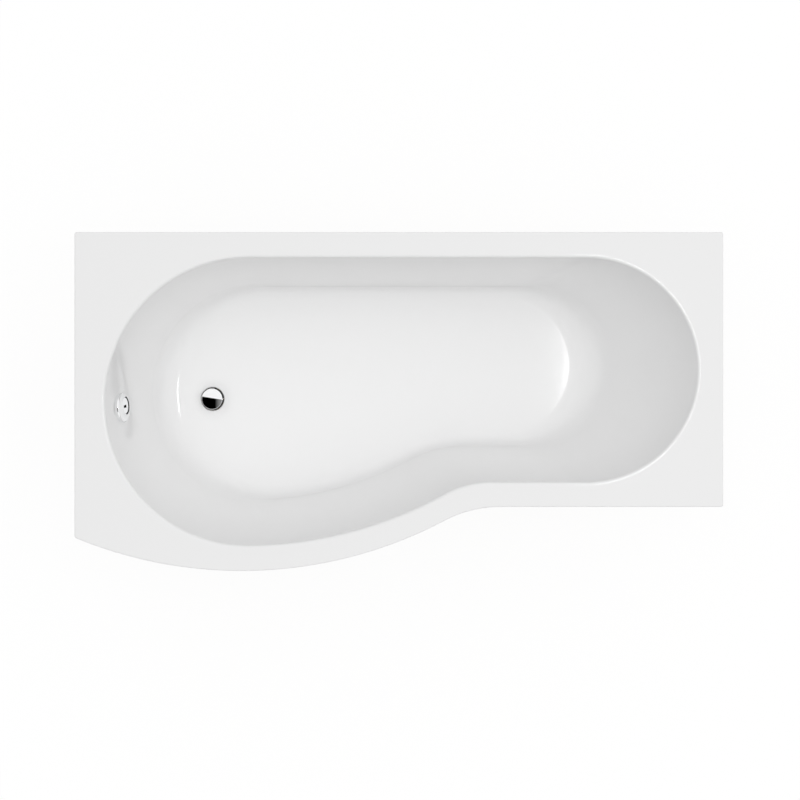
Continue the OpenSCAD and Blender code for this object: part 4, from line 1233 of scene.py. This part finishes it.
cover_slot = block((0.020, -0.016, 0.0035), (0.050, 0.016, 0.0090), radius=0.0015)
cover = finish_piece(
    "overflow_chrome_cover",
    carved(
        lathe(cover_profile(), radius=0.0012, steps=128, closed=False, at=overflow_place),
        moved(cover_slot, overflow_place),
    ),
    chrome, "tub", ["overflow_cover"], sharp=50.0,
)
print("cover faces:", len(cover.data.polygons))

# %% [markdown]
# Plug, spring and waste
#
# Under the dome sit a rubber ring, a brass plunger and a spring in a brass cartridge. The
# spring is a ring of edges wound up as a helix. The plastic body below takes the
# overflow's hose from the side and has a threaded tail.

# %% Copies and threads
def copies(master, places):
    """One bmesh with a copy of the master at each place, and the master freed."""
    mesh = bpy.data.meshes.new("master")
    master.to_mesh(mesh)
    master.free()
    bm = bmesh.new()
    for place in places:
        start = len(bm.verts)
        bm.from_mesh(mesh)
        bm.verts.ensure_lookup_table()
        bmesh.ops.translate(bm, vec=place, verts=bm.verts[start:])
    bpy.data.meshes.remove(mesh)
    return bm


def wound(bm, verts, edges, rise, turns, turn_steps):
    """Extrudes edges along a helix about Z that rises over all its turns."""
    steps = turns * turn_steps
    bmesh.ops.spin(
        bm, geom=verts + edges, cent=(0, 0, 0), axis=(0, 0, 1), dvec=(0, 0, rise / steps),
        angle=2 * math.pi * turns, steps=steps,
    )
    return bm


def fill_ends(bm):
    bmesh.ops.holes_fill(bm, edges=[e for e in bm.edges if e.is_boundary], sides=0)
    return bm


def screw_thread(radius, depth, pitch, low, high, turn_steps=20):
    """One turn of a thread, copied up into a helix that is cut off square at both ends."""
    bm = bmesh.new()
    flat = pitch / 8
    root = radius - depth
    profile = [
        (root, 0.0), (root, flat), (radius, pitch / 2), (radius, pitch / 2 + flat), (root, pitch),
    ]
    start = low - 1.5 * pitch
    verts = [bm.verts.new((x, 0.0, start + z)) for x, z in profile]
    edges = [bm.edges.new(pair) for pair in zip(verts, verts[1:])]
    turns = math.ceil((high - low) / pitch) + 3
    one_turn = wound(bm, verts, edges, pitch, 1, turn_steps)
    bm = copies(one_turn, [Vector((0, 0, turn * pitch)) for turn in range(turns)])
    bmesh.ops.remove_doubles(bm, verts=bm.verts, dist=1e-6)
    for z, side in ((low, -1), (high, 1)):
        bmesh.ops.bisect_plane(
            bm, geom=list(bm.verts) + list(bm.edges) + list(bm.faces),
            plane_co=(0, 0, z), plane_no=(0, 0, side), clear_outer=True,
        )
    return fill_ends(bm)


def thread_ridge(radius, depth, pitch, low, high, turn_steps=48):
    """The ridge of a moulded thread, its foot sunk into the tube that carries it."""
    bm = bmesh.new()
    foot = radius - depth - 0.0003
    profile = [(foot, 0.0), (radius, 0.32 * pitch), (radius, 0.48 * pitch), (foot, 0.8 * pitch)]
    verts = [bm.verts.new((x, 0.0, low + z)) for x, z in profile]
    edges = [bm.edges.new((verts[i - 1], verts[i])) for i in range(len(verts))]
    turns = math.floor((high - low - pitch) / pitch)
    return fill_ends(wound(bm, verts, edges, pitch * turns, turns, turn_steps))


# %% Coils and hexagons
def coil(radius, wire_r, low, high, turns, turn_steps=28):
    """Round wire wound up into a spring."""
    bm = bmesh.new()
    place = Matrix.Translation((radius, 0, low + wire_r)) @ Matrix.Rotation(QUARTER, 4, "X")
    verts = bmesh.ops.create_circle(bm, segments=10, radius=wire_r, matrix=place)["verts"]
    edges = list({edge for vert in verts for edge in vert.link_edges})
    return fill_ends(wound(bm, verts, edges, high - low - 2 * wire_r, turns, turn_steps))


def hexagon(across, low, high, bore):
    """A hexagon with its corners turned off at both ends and a round bore."""
    corner = across / 2 / math.cos(math.pi / 6)
    turns = [i * math.pi / 3 for i in range(6)]
    sides = [(corner * math.cos(turn), corner * math.sin(turn)) for turn in turns]
    turned, outside, edge = 0.48 * across, 1.03 * corner, 0.0008
    fall = (outside - turned) * math.tan(math.pi / 6)
    envelope = lathe([
        (bore + edge, low), (turned, low), (outside, low + fall), (outside, high - fall),
        (turned, high), (bore + edge, high), (bore, high - edge), (bore, low + edge),
    ], radius=0, steps=48)
    return carved(prism(sides, low, high, radius=0.0002), envelope, "INTERSECT")


# %% Inside the plug
seal_low, seal_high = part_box("plug_seal")
stem_low, stem_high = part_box("plug_stem")
spring_low, spring_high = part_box("plug_spring")
cartridge_low, cartridge_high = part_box("plug_cartridge")
PLUG_SEAL_R = (seal_high.x - seal_low.x) / 2
PLUNGER_R = (stem_high.x - stem_low.x) / 2
STEM_R = 0.002
CARTRIDGE_HEAD_T = 0.006
RUN_FIT = 0.00005
LOOSE_FIT = 0.0003
PLUNGER_TOP = stem_high.z - 0.005

finish_piece("plug_rubber", lathe([
    (CAP_BOSS_R + RUN_FIT, seal_low.z), (PLUG_SEAL_R - 0.0026, seal_low.z),
    (PLUG_SEAL_R, seal_high.z), (CAP_BOSS_R + RUN_FIT, seal_high.z),
], radius=0.0005, at=waste_place), rubber, "plug", ["plug_seal"])

groove_r, groove_low, groove_high = PLUNGER_R - 0.0009, spring_high.z + 0.004, spring_high.z + 0.006
finish_piece("plug_plunger", lathe([
    (0.0, stem_low.z), (STEM_R, stem_low.z), (STEM_R, spring_high.z), (PLUNGER_R, spring_high.z),
    (PLUNGER_R, groove_low), (groove_r, groove_low), (groove_r, groove_high),
    (PLUNGER_R, groove_high), (PLUNGER_R, PLUNGER_TOP),
    (STEM_R + 0.001, PLUNGER_TOP), (STEM_R + 0.001, stem_high.z), (0.0, stem_high.z),
], radius=0.0003, closed=False, at=waste_place), brass, "plug", ["plug_stem"])

COIL_R = 0.0037
WIRE_R = 0.0006
COIL_TURNS = 8
spring_piece = finish_piece(
    "plug_coil_spring",
    moved(coil(COIL_R, WIRE_R, spring_low.z, spring_high.z, COIL_TURNS), waste_place),
    spring_wire, "plug", ["plug_spring"],
)
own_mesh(spring_piece)

head_z = cartridge_high.z - CARTRIDGE_HEAD_T
stem_bore, plunger_bore = STEM_R + RUN_FIT, PLUNGER_R + RUN_FIT
cartridge_tube = lathe([
    (stem_bore, cartridge_low.z), (CARTRIDGE_R, cartridge_low.z), (CARTRIDGE_R, head_z + 0.001),
    (plunger_bore, head_z + 0.001), (plunger_bore, spring_low.z), (stem_bore, spring_low.z),
], radius=0.0003)
cartridge_across = cartridge_high.y - cartridge_low.y
cartridge_head = hexagon(cartridge_across, head_z, cartridge_high.z, plunger_bore)
finish_piece(
    "plug_brass_cartridge", moved(merged([cartridge_tube, cartridge_head]), waste_place),
    brass, "tub", ["plug_cartridge"],
)

# %% Seals and body of the waste
flange_seal_low, flange_seal_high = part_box("waste_flange_seal")
under_seal_low, under_seal_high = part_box("waste_under_seal")
body_low, body_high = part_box("waste_body")
hose_end_x = body_low.x
HOSE_R = 0.016
HOSE_BORE_R = 0.012
SPIGOT_FIT = 0.0005
BODY_FLANGE_R = 0.038
BODY_FLANGE_T = 0.004
BOWL_R = 0.031
PLASTIC = 0.0035
TAIL_R = 0.0239
TAIL_BORE_R = 0.019
TAIL_THREAD_PITCH = 0.00231
TAIL_THREAD_DEPTH = 0.0011
BOWL_LOW = body_low.z + 0.030
INLET_Z = BOWL_LOW + HOSE_R + 0.002
INLET_SINK = 0.007
COLLAR_T = 0.004
COLLAR_BACK = 0.010


def seal_ring(name, low, high, node):
    outer, bore = (high.x - low.x) / 2, NECK_R + LOOSE_FIT
    ring = lathe(
        [(bore, low.z), (outer, low.z), (outer, high.z), (bore, high.z)],
        radius=0.0005, at=waste_place,
    )
    finish_piece(name, ring, rubber, "tub", [node])


def tube_between(radius, bore, length, edge=0.0006):
    return lathe([(bore, 0.0), (radius, 0.0), (radius, length), (bore, length)], radius=edge)


def make_waste_body():
    root, under = TAIL_R - TAIL_THREAD_DEPTH, body_high.z - BODY_FLANGE_T
    bowl = lathe([
        (NECK_R + RUN_FIT, body_high.z), (BODY_FLANGE_R, body_high.z),
        (BODY_FLANGE_R, under), (BOWL_R, under - 0.001),
        (BOWL_R, BOWL_LOW), (root, BOWL_LOW - 0.0015), (root, body_low.z), (TAIL_BORE_R, body_low.z),
        (TAIL_BORE_R, BOWL_LOW + PLASTIC), (BOWL_R - PLASTIC, BOWL_LOW + PLASTIC),
        (BOWL_R - PLASTIC, NECK_END - PLASTIC), (NECK_BORE_R, NECK_END - PLASTIC),
        (NECK_BORE_R, NECK_END), (NECK_R + RUN_FIT, NECK_END),
    ], radius=0.0008, steps=96)
    tail = thread_ridge(
        TAIL_R, TAIL_THREAD_DEPTH, TAIL_THREAD_PITCH, body_low.z + 0.001, BOWL_LOW - 0.002
    )
    whole = moved(merged([bowl, tail]), waste_place)
    inlet_length = WASTE_CENTRE.x - BOWL_R + INLET_SINK - hose_end_x
    inlet = tube_between(HOSE_R - SPIGOT_FIT, HOSE_BORE_R, inlet_length)
    collar = tube_between(HOSE_R + 0.002, HOSE_BORE_R, COLLAR_T)
    moved(collar, Matrix.Translation((0, 0, inlet_length - COLLAR_BACK)))
    inlet_place = Matrix.Translation((hose_end_x, WASTE_CENTRE.y, INLET_Z))
    side = moved(merged([inlet, collar]), inlet_place @ Matrix.Rotation(QUARTER, 4, "Y"))
    return merged([whole, side])


seal_ring("waste_top_seal", flange_seal_low, flange_seal_high, "waste_flange_seal")
seal_ring("waste_lower_seal", under_seal_low, under_seal_high, "waste_under_seal")
finish_piece(
    "waste_plastic_body", make_waste_body(), waste_plastic, "tub", ["waste_body"]
)
print("waste tail of", round(TAIL_R * 2000, 1), "mm")

# %% [markdown]
# The overflow behind the wall
#
# All of it sits square to the sloping wall, so each piece is spun about the overflow's own
# axis and the same place matrix sets it. Only the spigot for the hose points straight down.

# %% Overflow plate, screw, seal and body
COVER_PLATE_R = 0.036
COVER_PLATE_T = 0.003
PLATE_NECK_R = 0.027
PLATE_NECK_L = 0.017
PLATE_WALL = 0.0022
PLATE_SKIN = 0.0001
CLAMP_R = 0.003
CLAMP_HEAD_R = 0.0055
CLAMP_SLOT_HALF = 0.0006
CLAMP_THREAD_DEPTH = 0.0005
CLAMP_PITCH = 0.001
SEAL_BACK = -0.0093
SEAL_FRONT = -0.0053
CUP_END = SEAL_BACK - 0.030
SPIGOT_LENGTH = 0.0385
overflow_nut_low, overflow_nut_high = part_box("overflow_hose_nut")
hose_start = (overflow_nut_low + overflow_nut_high) / 2


def make_plate():
    bore = PLATE_NECK_R - PLATE_WALL
    ring = lathe([
        (bore, COVER_PLATE_T), (COVER_PLATE_R, COVER_PLATE_T), (COVER_PLATE_R, 0.0),
        (PLATE_NECK_R, 0.0), (PLATE_NECK_R, -PLATE_NECK_L), (bore, -PLATE_NECK_L),
    ], radius=0.0005, steps=96)
    hub = tube_between(CLAMP_R + 0.004, CLAMP_R + RUN_FIT, COVER_PLATE_T, 0.0004)
    spokes = around(4, lambda: block(
        (CLAMP_R + 0.003, -SPOKE_HALF, PLATE_SKIN),
        (bore + SINK, SPOKE_HALF, COVER_PLATE_T - PLATE_SKIN), radius=0.0003,
    ), first=0.5)
    return moved(merged([ring, hub] + spokes), overflow_place)


def make_overflow_body():
    """A cup with a boss for the clamp screw, and a spigot that points down to the hose."""
    bore, boss, boss_top = PLATE_NECK_R + RUN_FIT, CLAMP_R + PLASTIC, CUP_END + 0.010
    under, floor_top = SEAL_BACK - BODY_FLANGE_T, CUP_END + PLASTIC
    cup = lathe([
        (0.0, CUP_END), (BOWL_R, CUP_END), (BOWL_R, under), (BODY_FLANGE_R, under),
        (BODY_FLANGE_R, SEAL_BACK), (bore, SEAL_BACK), (bore, floor_top), (boss, floor_top),
        (boss, boss_top), (0.0, boss_top),
    ], radius=0.0008, steps=96, closed=False, at=overflow_place)
    spigot = tube_between(HOSE_R - SPIGOT_FIT, HOSE_BORE_R, SPIGOT_LENGTH)
    moved(spigot, Matrix.Translation(hose_start))
    return merged([cup, spigot])


def make_clamp_screw():
    """A long screw with a slotted head, which draws the plate and the body together."""
    top = COVER_PLATE_T + CLAMP_R
    head = lathe(
        [(0.0, COVER_PLATE_T), (CLAMP_HEAD_R, COVER_PLATE_T), (CLAMP_HEAD_R, top), (0.0, top)],
        radius=0.0008, closed=False,
    )
    slot = block(
        (-0.007, -CLAMP_SLOT_HALF, top - 0.0012), (0.007, CLAMP_SLOT_HALF, top + 0.001), radius=0
    )
    thread_low, thread_high = CUP_END + PLASTIC + 0.001, COVER_PLATE_T + SINK
    thread = screw_thread(CLAMP_R, CLAMP_THREAD_DEPTH, CLAMP_PITCH, thread_low, thread_high)
    return moved(merged([carved(head, slot), thread]), overflow_place)


def make_overflow_seal():
    bore, outer = PLATE_NECK_R + LOOSE_FIT, BODY_FLANGE_R - 0.001
    return lathe(
        [(bore, SEAL_BACK), (outer, SEAL_BACK), (outer, SEAL_FRONT), (bore, SEAL_FRONT)],
        radius=0.0006, steps=96, at=overflow_place,
    )


finish_piece(
    "overflow_inner_plate", make_plate(), waste_plastic, "tub", ["overflow_plate"]
)
finish_piece(
    "overflow_long_screw", make_clamp_screw(), zinc_plate, "tub", ["overflow_clamp_screw"],
)
finish_piece(
    "overflow_rubber", make_overflow_seal(), rubber, "tub", ["overflow_seal"]
)
finish_piece(
    "overflow_plastic_body", make_overflow_body(), waste_plastic, "tub", ["overflow_body"],
)
print("overflow cup ends", round(-CUP_END * 1000, 1), "mm behind the wall")

# %% [markdown]
# The ribbed hose
#
# The hose follows the same route as its solid: a smooth curve through points that are shares
# of the way from the waste to the overflow, with a straight run at each end for its nut. A
# ring of edges is extruded along it, and a cosine swells and shrinks each ring for the ribs.

# %% The hose's route
MEASURE_STEPS = 400
HOSE_SHARES = [
    (1, 0.98, 0.66), (1, 0.9, 0.55), (0.99, 0.78, 0.44), (0.97, 0.67, 0.325), (0.91, 0.51, 0.22),
    (0.81, 0.35, 0.13), (0.675, 0.2, 0.06), (0.52, 0.08, 0.015),
]
waste_nut_low, waste_nut_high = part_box("waste_hose_nut")
hose_end = (waste_nut_low + waste_nut_high) / 2
straight = 2 * HOSE_R
hose_way = hose_start - hose_end
hose_route = (
    [hose_start - Vector((0, 0, i * straight)) for i in range(3)]
    + [hose_end + hose_way * Vector(shares) for shares in HOSE_SHARES]
    + [hose_end - Vector((i * straight, 0, 0)) for i in (2, 1, 0)]
)


def on_route(route, place):
    """A smooth curve through the route's points; place counts them."""
    last = len(route) - 1
    i = min(int(place), last - 1)
    f = place - i
    b, c = route[i], route[i + 1]
    a = 2 * b - c if i == 0 else route[i - 1]
    d = 2 * c - b if i == last - 1 else route[i + 2]
    return 0.5 * (2 * b + (c - a) * f + (2 * a - 5 * b + 4 * c - d) * f * f
                  + (3 * b - a - 3 * c + d) * f ** 3)


route_shares = [(len(hose_route) - 1) * i / MEASURE_STEPS for i in range(MEASURE_STEPS + 1)]
hose_steps = [on_route(hose_route, share) for share in route_shares]
hose_length = sum((b - a).length for a, b in zip(hose_steps, hose_steps[1:]))
print("hose length in mm:", round(1000 * hose_length))

# %% Hose and its nuts
RIB_COUNT = 74
RIB_DEPTH = 0.0018
RIB_RINGS = 8
BORE_RINGS = 40
HOSE_SIDES = 28
NUT_RIBS = 18


def hose_ring(place, radius):
    last = len(hose_route) - 1
    centre = on_route(hose_route, place)
    before, after = max(place - 0.01, 0), min(place + 0.01, last)
    tangent = (on_route(hose_route, after) - on_route(hose_route, before)).normalized()
    across = tangent.cross(Vector((0, 1, 0))).normalized()
    up = across.cross(tangent)
    turns = [k * 2 * math.pi / HOSE_SIDES for k in range(HOSE_SIDES)]
    return [centre + radius * (math.cos(w) * up + math.sin(w) * across) for w in turns]


def make_hose():
    bm = bmesh.new()
    last = len(hose_route) - 1
    count = RIB_COUNT * RIB_RINGS
    outside = [hose_ring(0, HOSE_R)]
    for i in range(count + 1):
        swell = 0.5 - 0.5 * math.cos(2 * math.pi * i / RIB_RINGS)
        outside.append(hose_ring(1 + (last - 2) * i / count, HOSE_R - RIB_DEPTH * swell))
    outside.append(hose_ring(last, HOSE_R))
    inside = [hose_ring(last * i / BORE_RINGS, HOSE_BORE_R) for i in range(BORE_RINGS, -1, -1)]
    first, end = loft(bm, outside + inside)
    bmesh.ops.bridge_loops(bm, edges=ring_edges(bm, first) + ring_edges(bm, end))
    return bm


def make_hose_nut(place):
    """A ring with grip ribs, centred on its place."""
    length = overflow_nut_high.z - overflow_nut_low.z
    outer = (overflow_nut_high.x - overflow_nut_low.x) / 2
    ring = tube_between(outer - 0.001, HOSE_R + LOOSE_FIT, length, 0.001)
    ribs = around(NUT_RIBS, lambda: block(
        (outer - 0.002, -0.0009, 0.0015), (outer, 0.0009, length - 0.0015), radius=0.0004
    ))
    return moved(merged([ring] + ribs), place @ Matrix.Translation((0, 0, -length / 2)))


finish_piece(
    "overflow_ribbed_hose", make_hose(), hose_plastic, "tub", ["overflow_hose"]
)
upright = Matrix.Translation(hose_start)
lying = Matrix.Translation(hose_end) @ Matrix.Rotation(QUARTER, 4, "Y")
for name, place, node in (
    ("overflow_spigot_nut", upright, "overflow_hose_nut"),
    ("waste_spigot_nut", lying, "waste_hose_nut"),
):
    finish_piece(name, make_hose_nut(place), nut_plastic, "tub", [node])
print("ribs on the hose:", RIB_COUNT)

# %% [markdown]
# Boards and battens under the bath
#
# The baseboard follows the floor's outline and leaves the waste free. Battens stiffen the
# rim, and the front one follows the bulge. Each is a flat outline raised to its thickness,
# with its edges just broken, as sawn wood has them.

# %% Baseboard and battens
board_low, board_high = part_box("baseboard")
BOARD_INSET = 0.025
BOARD_HOLE_R = 0.050
BATTEN_GAP = 0.003
BATTEN_STEPS = 60
SAWN_EDGE = 0.0008
PAST = 0.01
front_batten_low, front_batten_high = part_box("front_batten")


def make_board():
    """The floor's outline drawn in, with a hole round the waste and a notch for its hose."""
    outline = [tuple(p) for p in floor_outline.points(-BOARD_INSET)]
    board = prism(outline, board_low.z, board_high.z, radius=SAWN_EDGE)
    low, high, reach = board_low.z - PAST, board_high.z + PAST, BOARD_HOLE_R
    hole = lathe(
        [(0.0, low), (reach, low), (reach, high), (0.0, high)],
        radius=0, closed=False, at=waste_place,
    )
    notch = block(
        (WASTE.x - 2 * reach, WASTE.y - reach, low), (WASTE.x, WASTE.y + reach, high), radius=0
    )
    return carved(carved(board, hole), notch)


def curved_front(front, big_c, big_r, hollow_c, hollow_r):
    """One edge of the front batten: the bulge, the hollow and the straight front."""
    left, right = front_batten_low.x, front_batten_high.x
    start = -QUARTER + math.asin((left - big_c.x) / big_r)
    end = angle_to(big_c, hollow_c)
    return (
        arc_points(big_c, big_r, start, end, BATTEN_STEPS)
        + arc_points(hollow_c, hollow_r, end + math.pi, QUARTER, WAIST_STEPS)
        + [Vector((hollow_c.x, front)), Vector((right, front))]
    )


def make_front_batten():
    inset = SHELL + BATTEN_GAP
    waist_c, bulge_c = rim_centres()
    outer = curved_front(RIM_FRONT + inset, bulge_c, BULGE_R - inset, waist_c, WAIST_R + inset)
    inner = curved_front(
        RIM_FRONT + FRONT_LEDGE - inset, opening.bulge_c, OPENING_BULGE_R + inset,
        opening.waist_c, OPENING_WAIST_R - inset,
    )
    points = [tuple(p) for p in outer + inner[::-1]]
    return prism(points, front_batten_low.z, front_batten_high.z, radius=SAWN_EDGE)


finish_piece("chipboard_base", make_board(), chipboard, "tub", ["baseboard"])
finish_piece(
    "front_batten_wood", make_front_batten(), softwood_long, "tub", ["front_batten"]
)
for batten, wood in (
    ("back_batten", softwood_long), ("foot_end_batten", softwood_cross),
    ("head_end_batten", softwood_cross),
):
    low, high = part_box(batten)
    finish_piece(
        batten + "_wood", block(low, high, radius=0.0012), wood, "tub", [batten]
    )
print("boards and battens made")

# %% [markdown]
# Pressed steel
#
# Cradles, the centre bracket and the wall brackets are bent sheet. Their outline is drawn
# once with rounded bends, raised along the length, and then drilled with Booleans.

# %% Sheet that is bent and drilled
STEEL = 0.0025
BEND_R = 0.004
LEG_HOLE_R = 0.0063
SCREW_HOLE_R = 0.0025
DRILL_HALF = 0.01
ALONG_X = Matrix(((0, 0, 1, 0), (1, 0, 0, 0), (0, 1, 0, 0), (0, 0, 0, 1)))
ALONG_Y = Matrix(((1, 0, 0, 0), (0, 0, 1, 0), (0, 1, 0, 0), (0, 0, 0, 1)))


def sheet_outline(path):
    """The outline of bent sheet that lies to the right of a path with rounded bends."""
    line = rounded(path, BEND_R, closed=False)
    count = len(line)
    right = []
    for index, point in enumerate(line):
        along = (line[min(index + 1, count - 1)] - line[max(index - 1, 0)]).normalized()
        right.append(point + STEEL * Vector((along.y, -along.x)))
    return [tuple(p) for p in line + right[::-1]]


def bent_sheet(path, low, high, turn, name, node, holes):
    """Sheet bent along a path, raised from low to high, turned into place and drilled."""
    sheet = moved(prism(sheet_outline(path), low, high, radius=0.0003), turn)
    for radius, place, axis in holes:
        drill = lathe([
            (0.0, -DRILL_HALF), (radius, -DRILL_HALF), (radius, DRILL_HALF), (0.0, DRILL_HALF),
        ], radius=0, steps=32, closed=False)
        turned = Matrix.Rotation(QUARTER, 4, "X") if axis == "Y" else Matrix.Identity(4)
        sheet = carved(sheet, moved(drill, Matrix.Translation(place) @ turned))
    return finish_piece(name, sheet, galvanised, "tub", [node])


# %% Cradles and the centre bracket
LEGS = ["back_foot_leg", "front_foot_leg", "back_head_leg", "front_head_leg", "centre_leg"]
CRADLES = {
    "foot_cradle": ("front_foot_leg", "back_foot_leg"),
    "head_cradle": ("front_head_leg", "back_head_leg"),
}
SCREW_SHARES = (0.25, 0.42, 0.58, 0.75)
CENTRE_HALF = 0.020


def middle(node):
    low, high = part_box(node)
    return (low + high) / 2


leg_at = {leg: middle(leg + "_rod") for leg in LEGS}
screw_places = []
for node, (front_leg, back_leg) in CRADLES.items():
    low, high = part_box(node)
    path = [(low.x, low.z), (low.x, high.z), (high.x, high.z), (high.x, low.z)]
    front, back = leg_at[front_leg], leg_at[back_leg]
    screws = [
        Vector((front.x, front.y + (back.y - front.y) * share, high.z - STEEL))
        for share in SCREW_SHARES
    ]
    screw_places += screws
    holes = [(LEG_HOLE_R, (p.x, p.y, high.z), "Z") for p in (front, back)]
    holes += [(SCREW_HOLE_R, p, "Z") for p in screws]
    bent_sheet(path, low.y, high.y, ALONG_Y, node + "_channel", node, holes)

hat_low, hat_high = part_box("centre_bracket")
centre = leg_at["centre_leg"]
hat_in, hat_out = CENTRE_HALF - STEEL, hat_high.x - centre.x
hat_half = [(hat_out, hat_high.z), (hat_in, hat_high.z), (hat_in, hat_low.z + STEEL)]
hat_path = [(centre.x - x, z) for x, z in hat_half] + [(centre.x + x, z) for x, z in hat_half[::-1]]
hat_ear = (CENTRE_HALF + hat_out) / 2
hat_quarter = (hat_high.y - hat_low.y) / 4
hat_screws = [
    Vector((centre.x + side * hat_ear, centre.y + end * hat_quarter, hat_high.z - STEEL))
    for side in (-1, 1) for end in (-1, 1)
]
screw_places += hat_screws
hat_holes = [(LEG_HOLE_R, (centre.x, centre.y, hat_low.z), "Z")]
hat_holes += [(SCREW_HOLE_R, p, "Z") for p in hat_screws]
bent_sheet(hat_path, hat_low.y, hat_high.y, ALONG_Y, "centre_hat_bracket", "centre_bracket", hat_holes)

print("screws up into the baseboard:", len(screw_places))

# %% Wall brackets
BRACKET_SHARES = (0.35, 0.7)
WALL_HOLE_R = 0.003
WALL_HOLE_APART = 0.025
back_batten_low, back_batten_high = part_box("back_batten")
back_batten_width = back_batten_high.y - back_batten_low.y
bracket_screw_places = []
for node in ("left_wall_bracket", "right_wall_bracket"):
    low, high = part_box(node)
    path = [(low.y, high.z), (high.y, high.z), (high.y, low.z)]
    x, mid_z = (low.x + high.x) / 2, (low.z + high.z) / 2
    places = [
        Vector((x, back_batten_low.y + back_batten_width * share, high.z - STEEL))
        for share in BRACKET_SHARES
    ]
    bracket_screw_places += places
    holes = [(SCREW_HOLE_R, p, "Z") for p in places]
    holes += [(WALL_HOLE_R, (x, high.y, mid_z + side * WALL_HOLE_APART / 2), "Y") for side in (-1, 1)]
    bent_sheet(path, low.x, high.x, ALONG_X, node + "_angle", node, holes)
print("screws into the back batten:", len(bracket_screw_places))

# %% [markdown]
# Legs and screws
#
# Five threaded rods stand in plastic feet. Each is clamped to its steel by two nuts and two
# washers, so the bath is levelled by turning the nuts. The screws of a set, and the washers,
# are copies of one mesh, while each nut is a piece of its own because it turns by itself.

# %% One screw, copied to every place
HEAD_R = 0.0045
HEAD_T = 0.003
SHANK_R = 0.0022
SCREW_THREAD_DEPTH = 0.0006
SCREW_PITCH = 0.0018
SCREW_LENGTH = 0.014
POINT_LENGTH = 0.002
CROSS_HALF = 0.00045


def make_screw():
    """A pan head with a cross recess, facing down, and a pointed thread."""
    head = lathe([
        (0.0, -HEAD_T), (0.0028, -HEAD_T + 0.0001), (0.0041, -HEAD_T + 0.0011), (HEAD_R, 0.0),
        (0.0, 0.0),
    ], radius=0.0003, steps=40, closed=False)
    thread_end = SCREW_LENGTH - POINT_LENGTH
    thread = screw_thread(
        SHANK_R, SCREW_THREAD_DEPTH, SCREW_PITCH, -0.0003, thread_end, turn_steps=16
    )
    point = lathe(
        [(0.0, thread_end), (SHANK_R - SCREW_THREAD_DEPTH, thread_end), (0.0, SCREW_LENGTH)],
        radius=0, steps=16, closed=False,
    )
    for turn in (0.0, QUARTER):
        slot = block(
            (-0.0022, -CROSS_HALF, -HEAD_T - 0.001), (0.0022, CROSS_HALF, -HEAD_T + 0.0014), radius=0
        )
        head = carved(head, moved(slot, Matrix.Rotation(turn, 4, "Z")))
    return merged([head, thread, point])


for name, places, node in (
    ("cradle_screw_set", screw_places, "cradle_screws"),
    ("bracket_screw_set", bracket_screw_places, "bracket_screws"),
):
    finish_piece(
        name, copies(make_screw(), places), zinc_plate, "tub", [node]
    )
print("screws made:", len(screw_places) + len(bracket_screw_places))

# %% Feet, rods, nuts and washers
ROD_THREAD_DEPTH = 0.00095
ROD_PITCH = 0.00175
FOOT_PAD = 0.007
FOOT_NECK_R = 0.011
FOOT_BORE_R = 0.0062
FOOT_SOLE = 0.008
FIN_COUNT = 6
FIN_HALF = 0.001
WASHER_R = 0.012
WASHER_T = 0.0025


def make_foot(low, high):
    """A round pad with a neck for the rod and six fins that stiffen it."""
    radius, top = (high.x - low.x) / 2, high.z
    body = lathe([
        (0.0, 0.0005), (0.010, 0.0005), (0.011, 0.0), (radius - 0.0015, 0.0), (radius, 0.0015),
        (radius, FOOT_PAD - 0.002), (radius - 0.003, FOOT_PAD),
        (FOOT_NECK_R + 0.0035, FOOT_PAD + 0.0018), (FOOT_NECK_R + 0.0008, FOOT_PAD + 0.005),
        (FOOT_NECK_R, FOOT_PAD + 0.010), (FOOT_NECK_R, top),
        (FOOT_BORE_R, top), (FOOT_BORE_R, FOOT_SOLE), (0.0, FOOT_SOLE),
    ], radius=0.0010, steps=72, closed=False)
    fin_outline = [
        (FOOT_NECK_R - 0.001, FOOT_PAD - 0.001), (radius - 0.004, FOOT_PAD - 0.001),
        (radius - 0.004, FOOT_PAD + 0.0004), (FOOT_NECK_R - 0.0005, FOOT_PAD + 0.014),
    ]
    fins = around(
        FIN_COUNT, lambda: moved(prism(fin_outline, -FIN_HALF, FIN_HALF, radius=0.0003), ALONG_Y)
    )
    return merged([body] + fins)


washer_places = []
for leg in LEGS:
    axis = Vector((leg_at[leg].x, leg_at[leg].y, 0.0))
    on_axis = Matrix.Translation(axis)
    foot_low, foot_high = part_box(leg + "_foot")
    rod_low, rod_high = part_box(leg + "_rod")
    rod_r = (rod_high.x - rod_low.x) / 2
    rod = screw_thread(rod_r, ROD_THREAD_DEPTH, ROD_PITCH, rod_low.z, rod_high.z)
    finish_piece(
        leg + "_plastic_foot", moved(make_foot(foot_low, foot_high), on_axis),
        foot_plastic, leg, [leg + "_foot"],
    )
    finish_piece(
        leg + "_threaded_rod", moved(rod, on_axis), zinc_plate, leg, [leg + "_rod"],
    )
    for part in ("adjusting", "lock"):
        node = leg + "_" + part + "_nut"
        nut_low, nut_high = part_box(node)
        nut = hexagon(nut_high.y - nut_low.y, nut_low.z, nut_high.z, rod_r + RUN_FIT)
        finish_piece(
            leg + "_" + part + "_hex", moved(nut, on_axis), zinc_plate, leg + "_nuts", [node],
        )
        washer_z = nut_high.z if part == "adjusting" else nut_low.z - WASHER_T
        washer_places.append(axis + Vector((0, 0, washer_z)))

washer = tube_between(WASHER_R, rod_r + LOOSE_FIT, WASHER_T, 0.0004)
finish_piece(
    "leg_washer_set", copies(washer, washer_places), zinc_plate, "tub", ["leg_washers"],
)
print("washers:", len(washer_places))
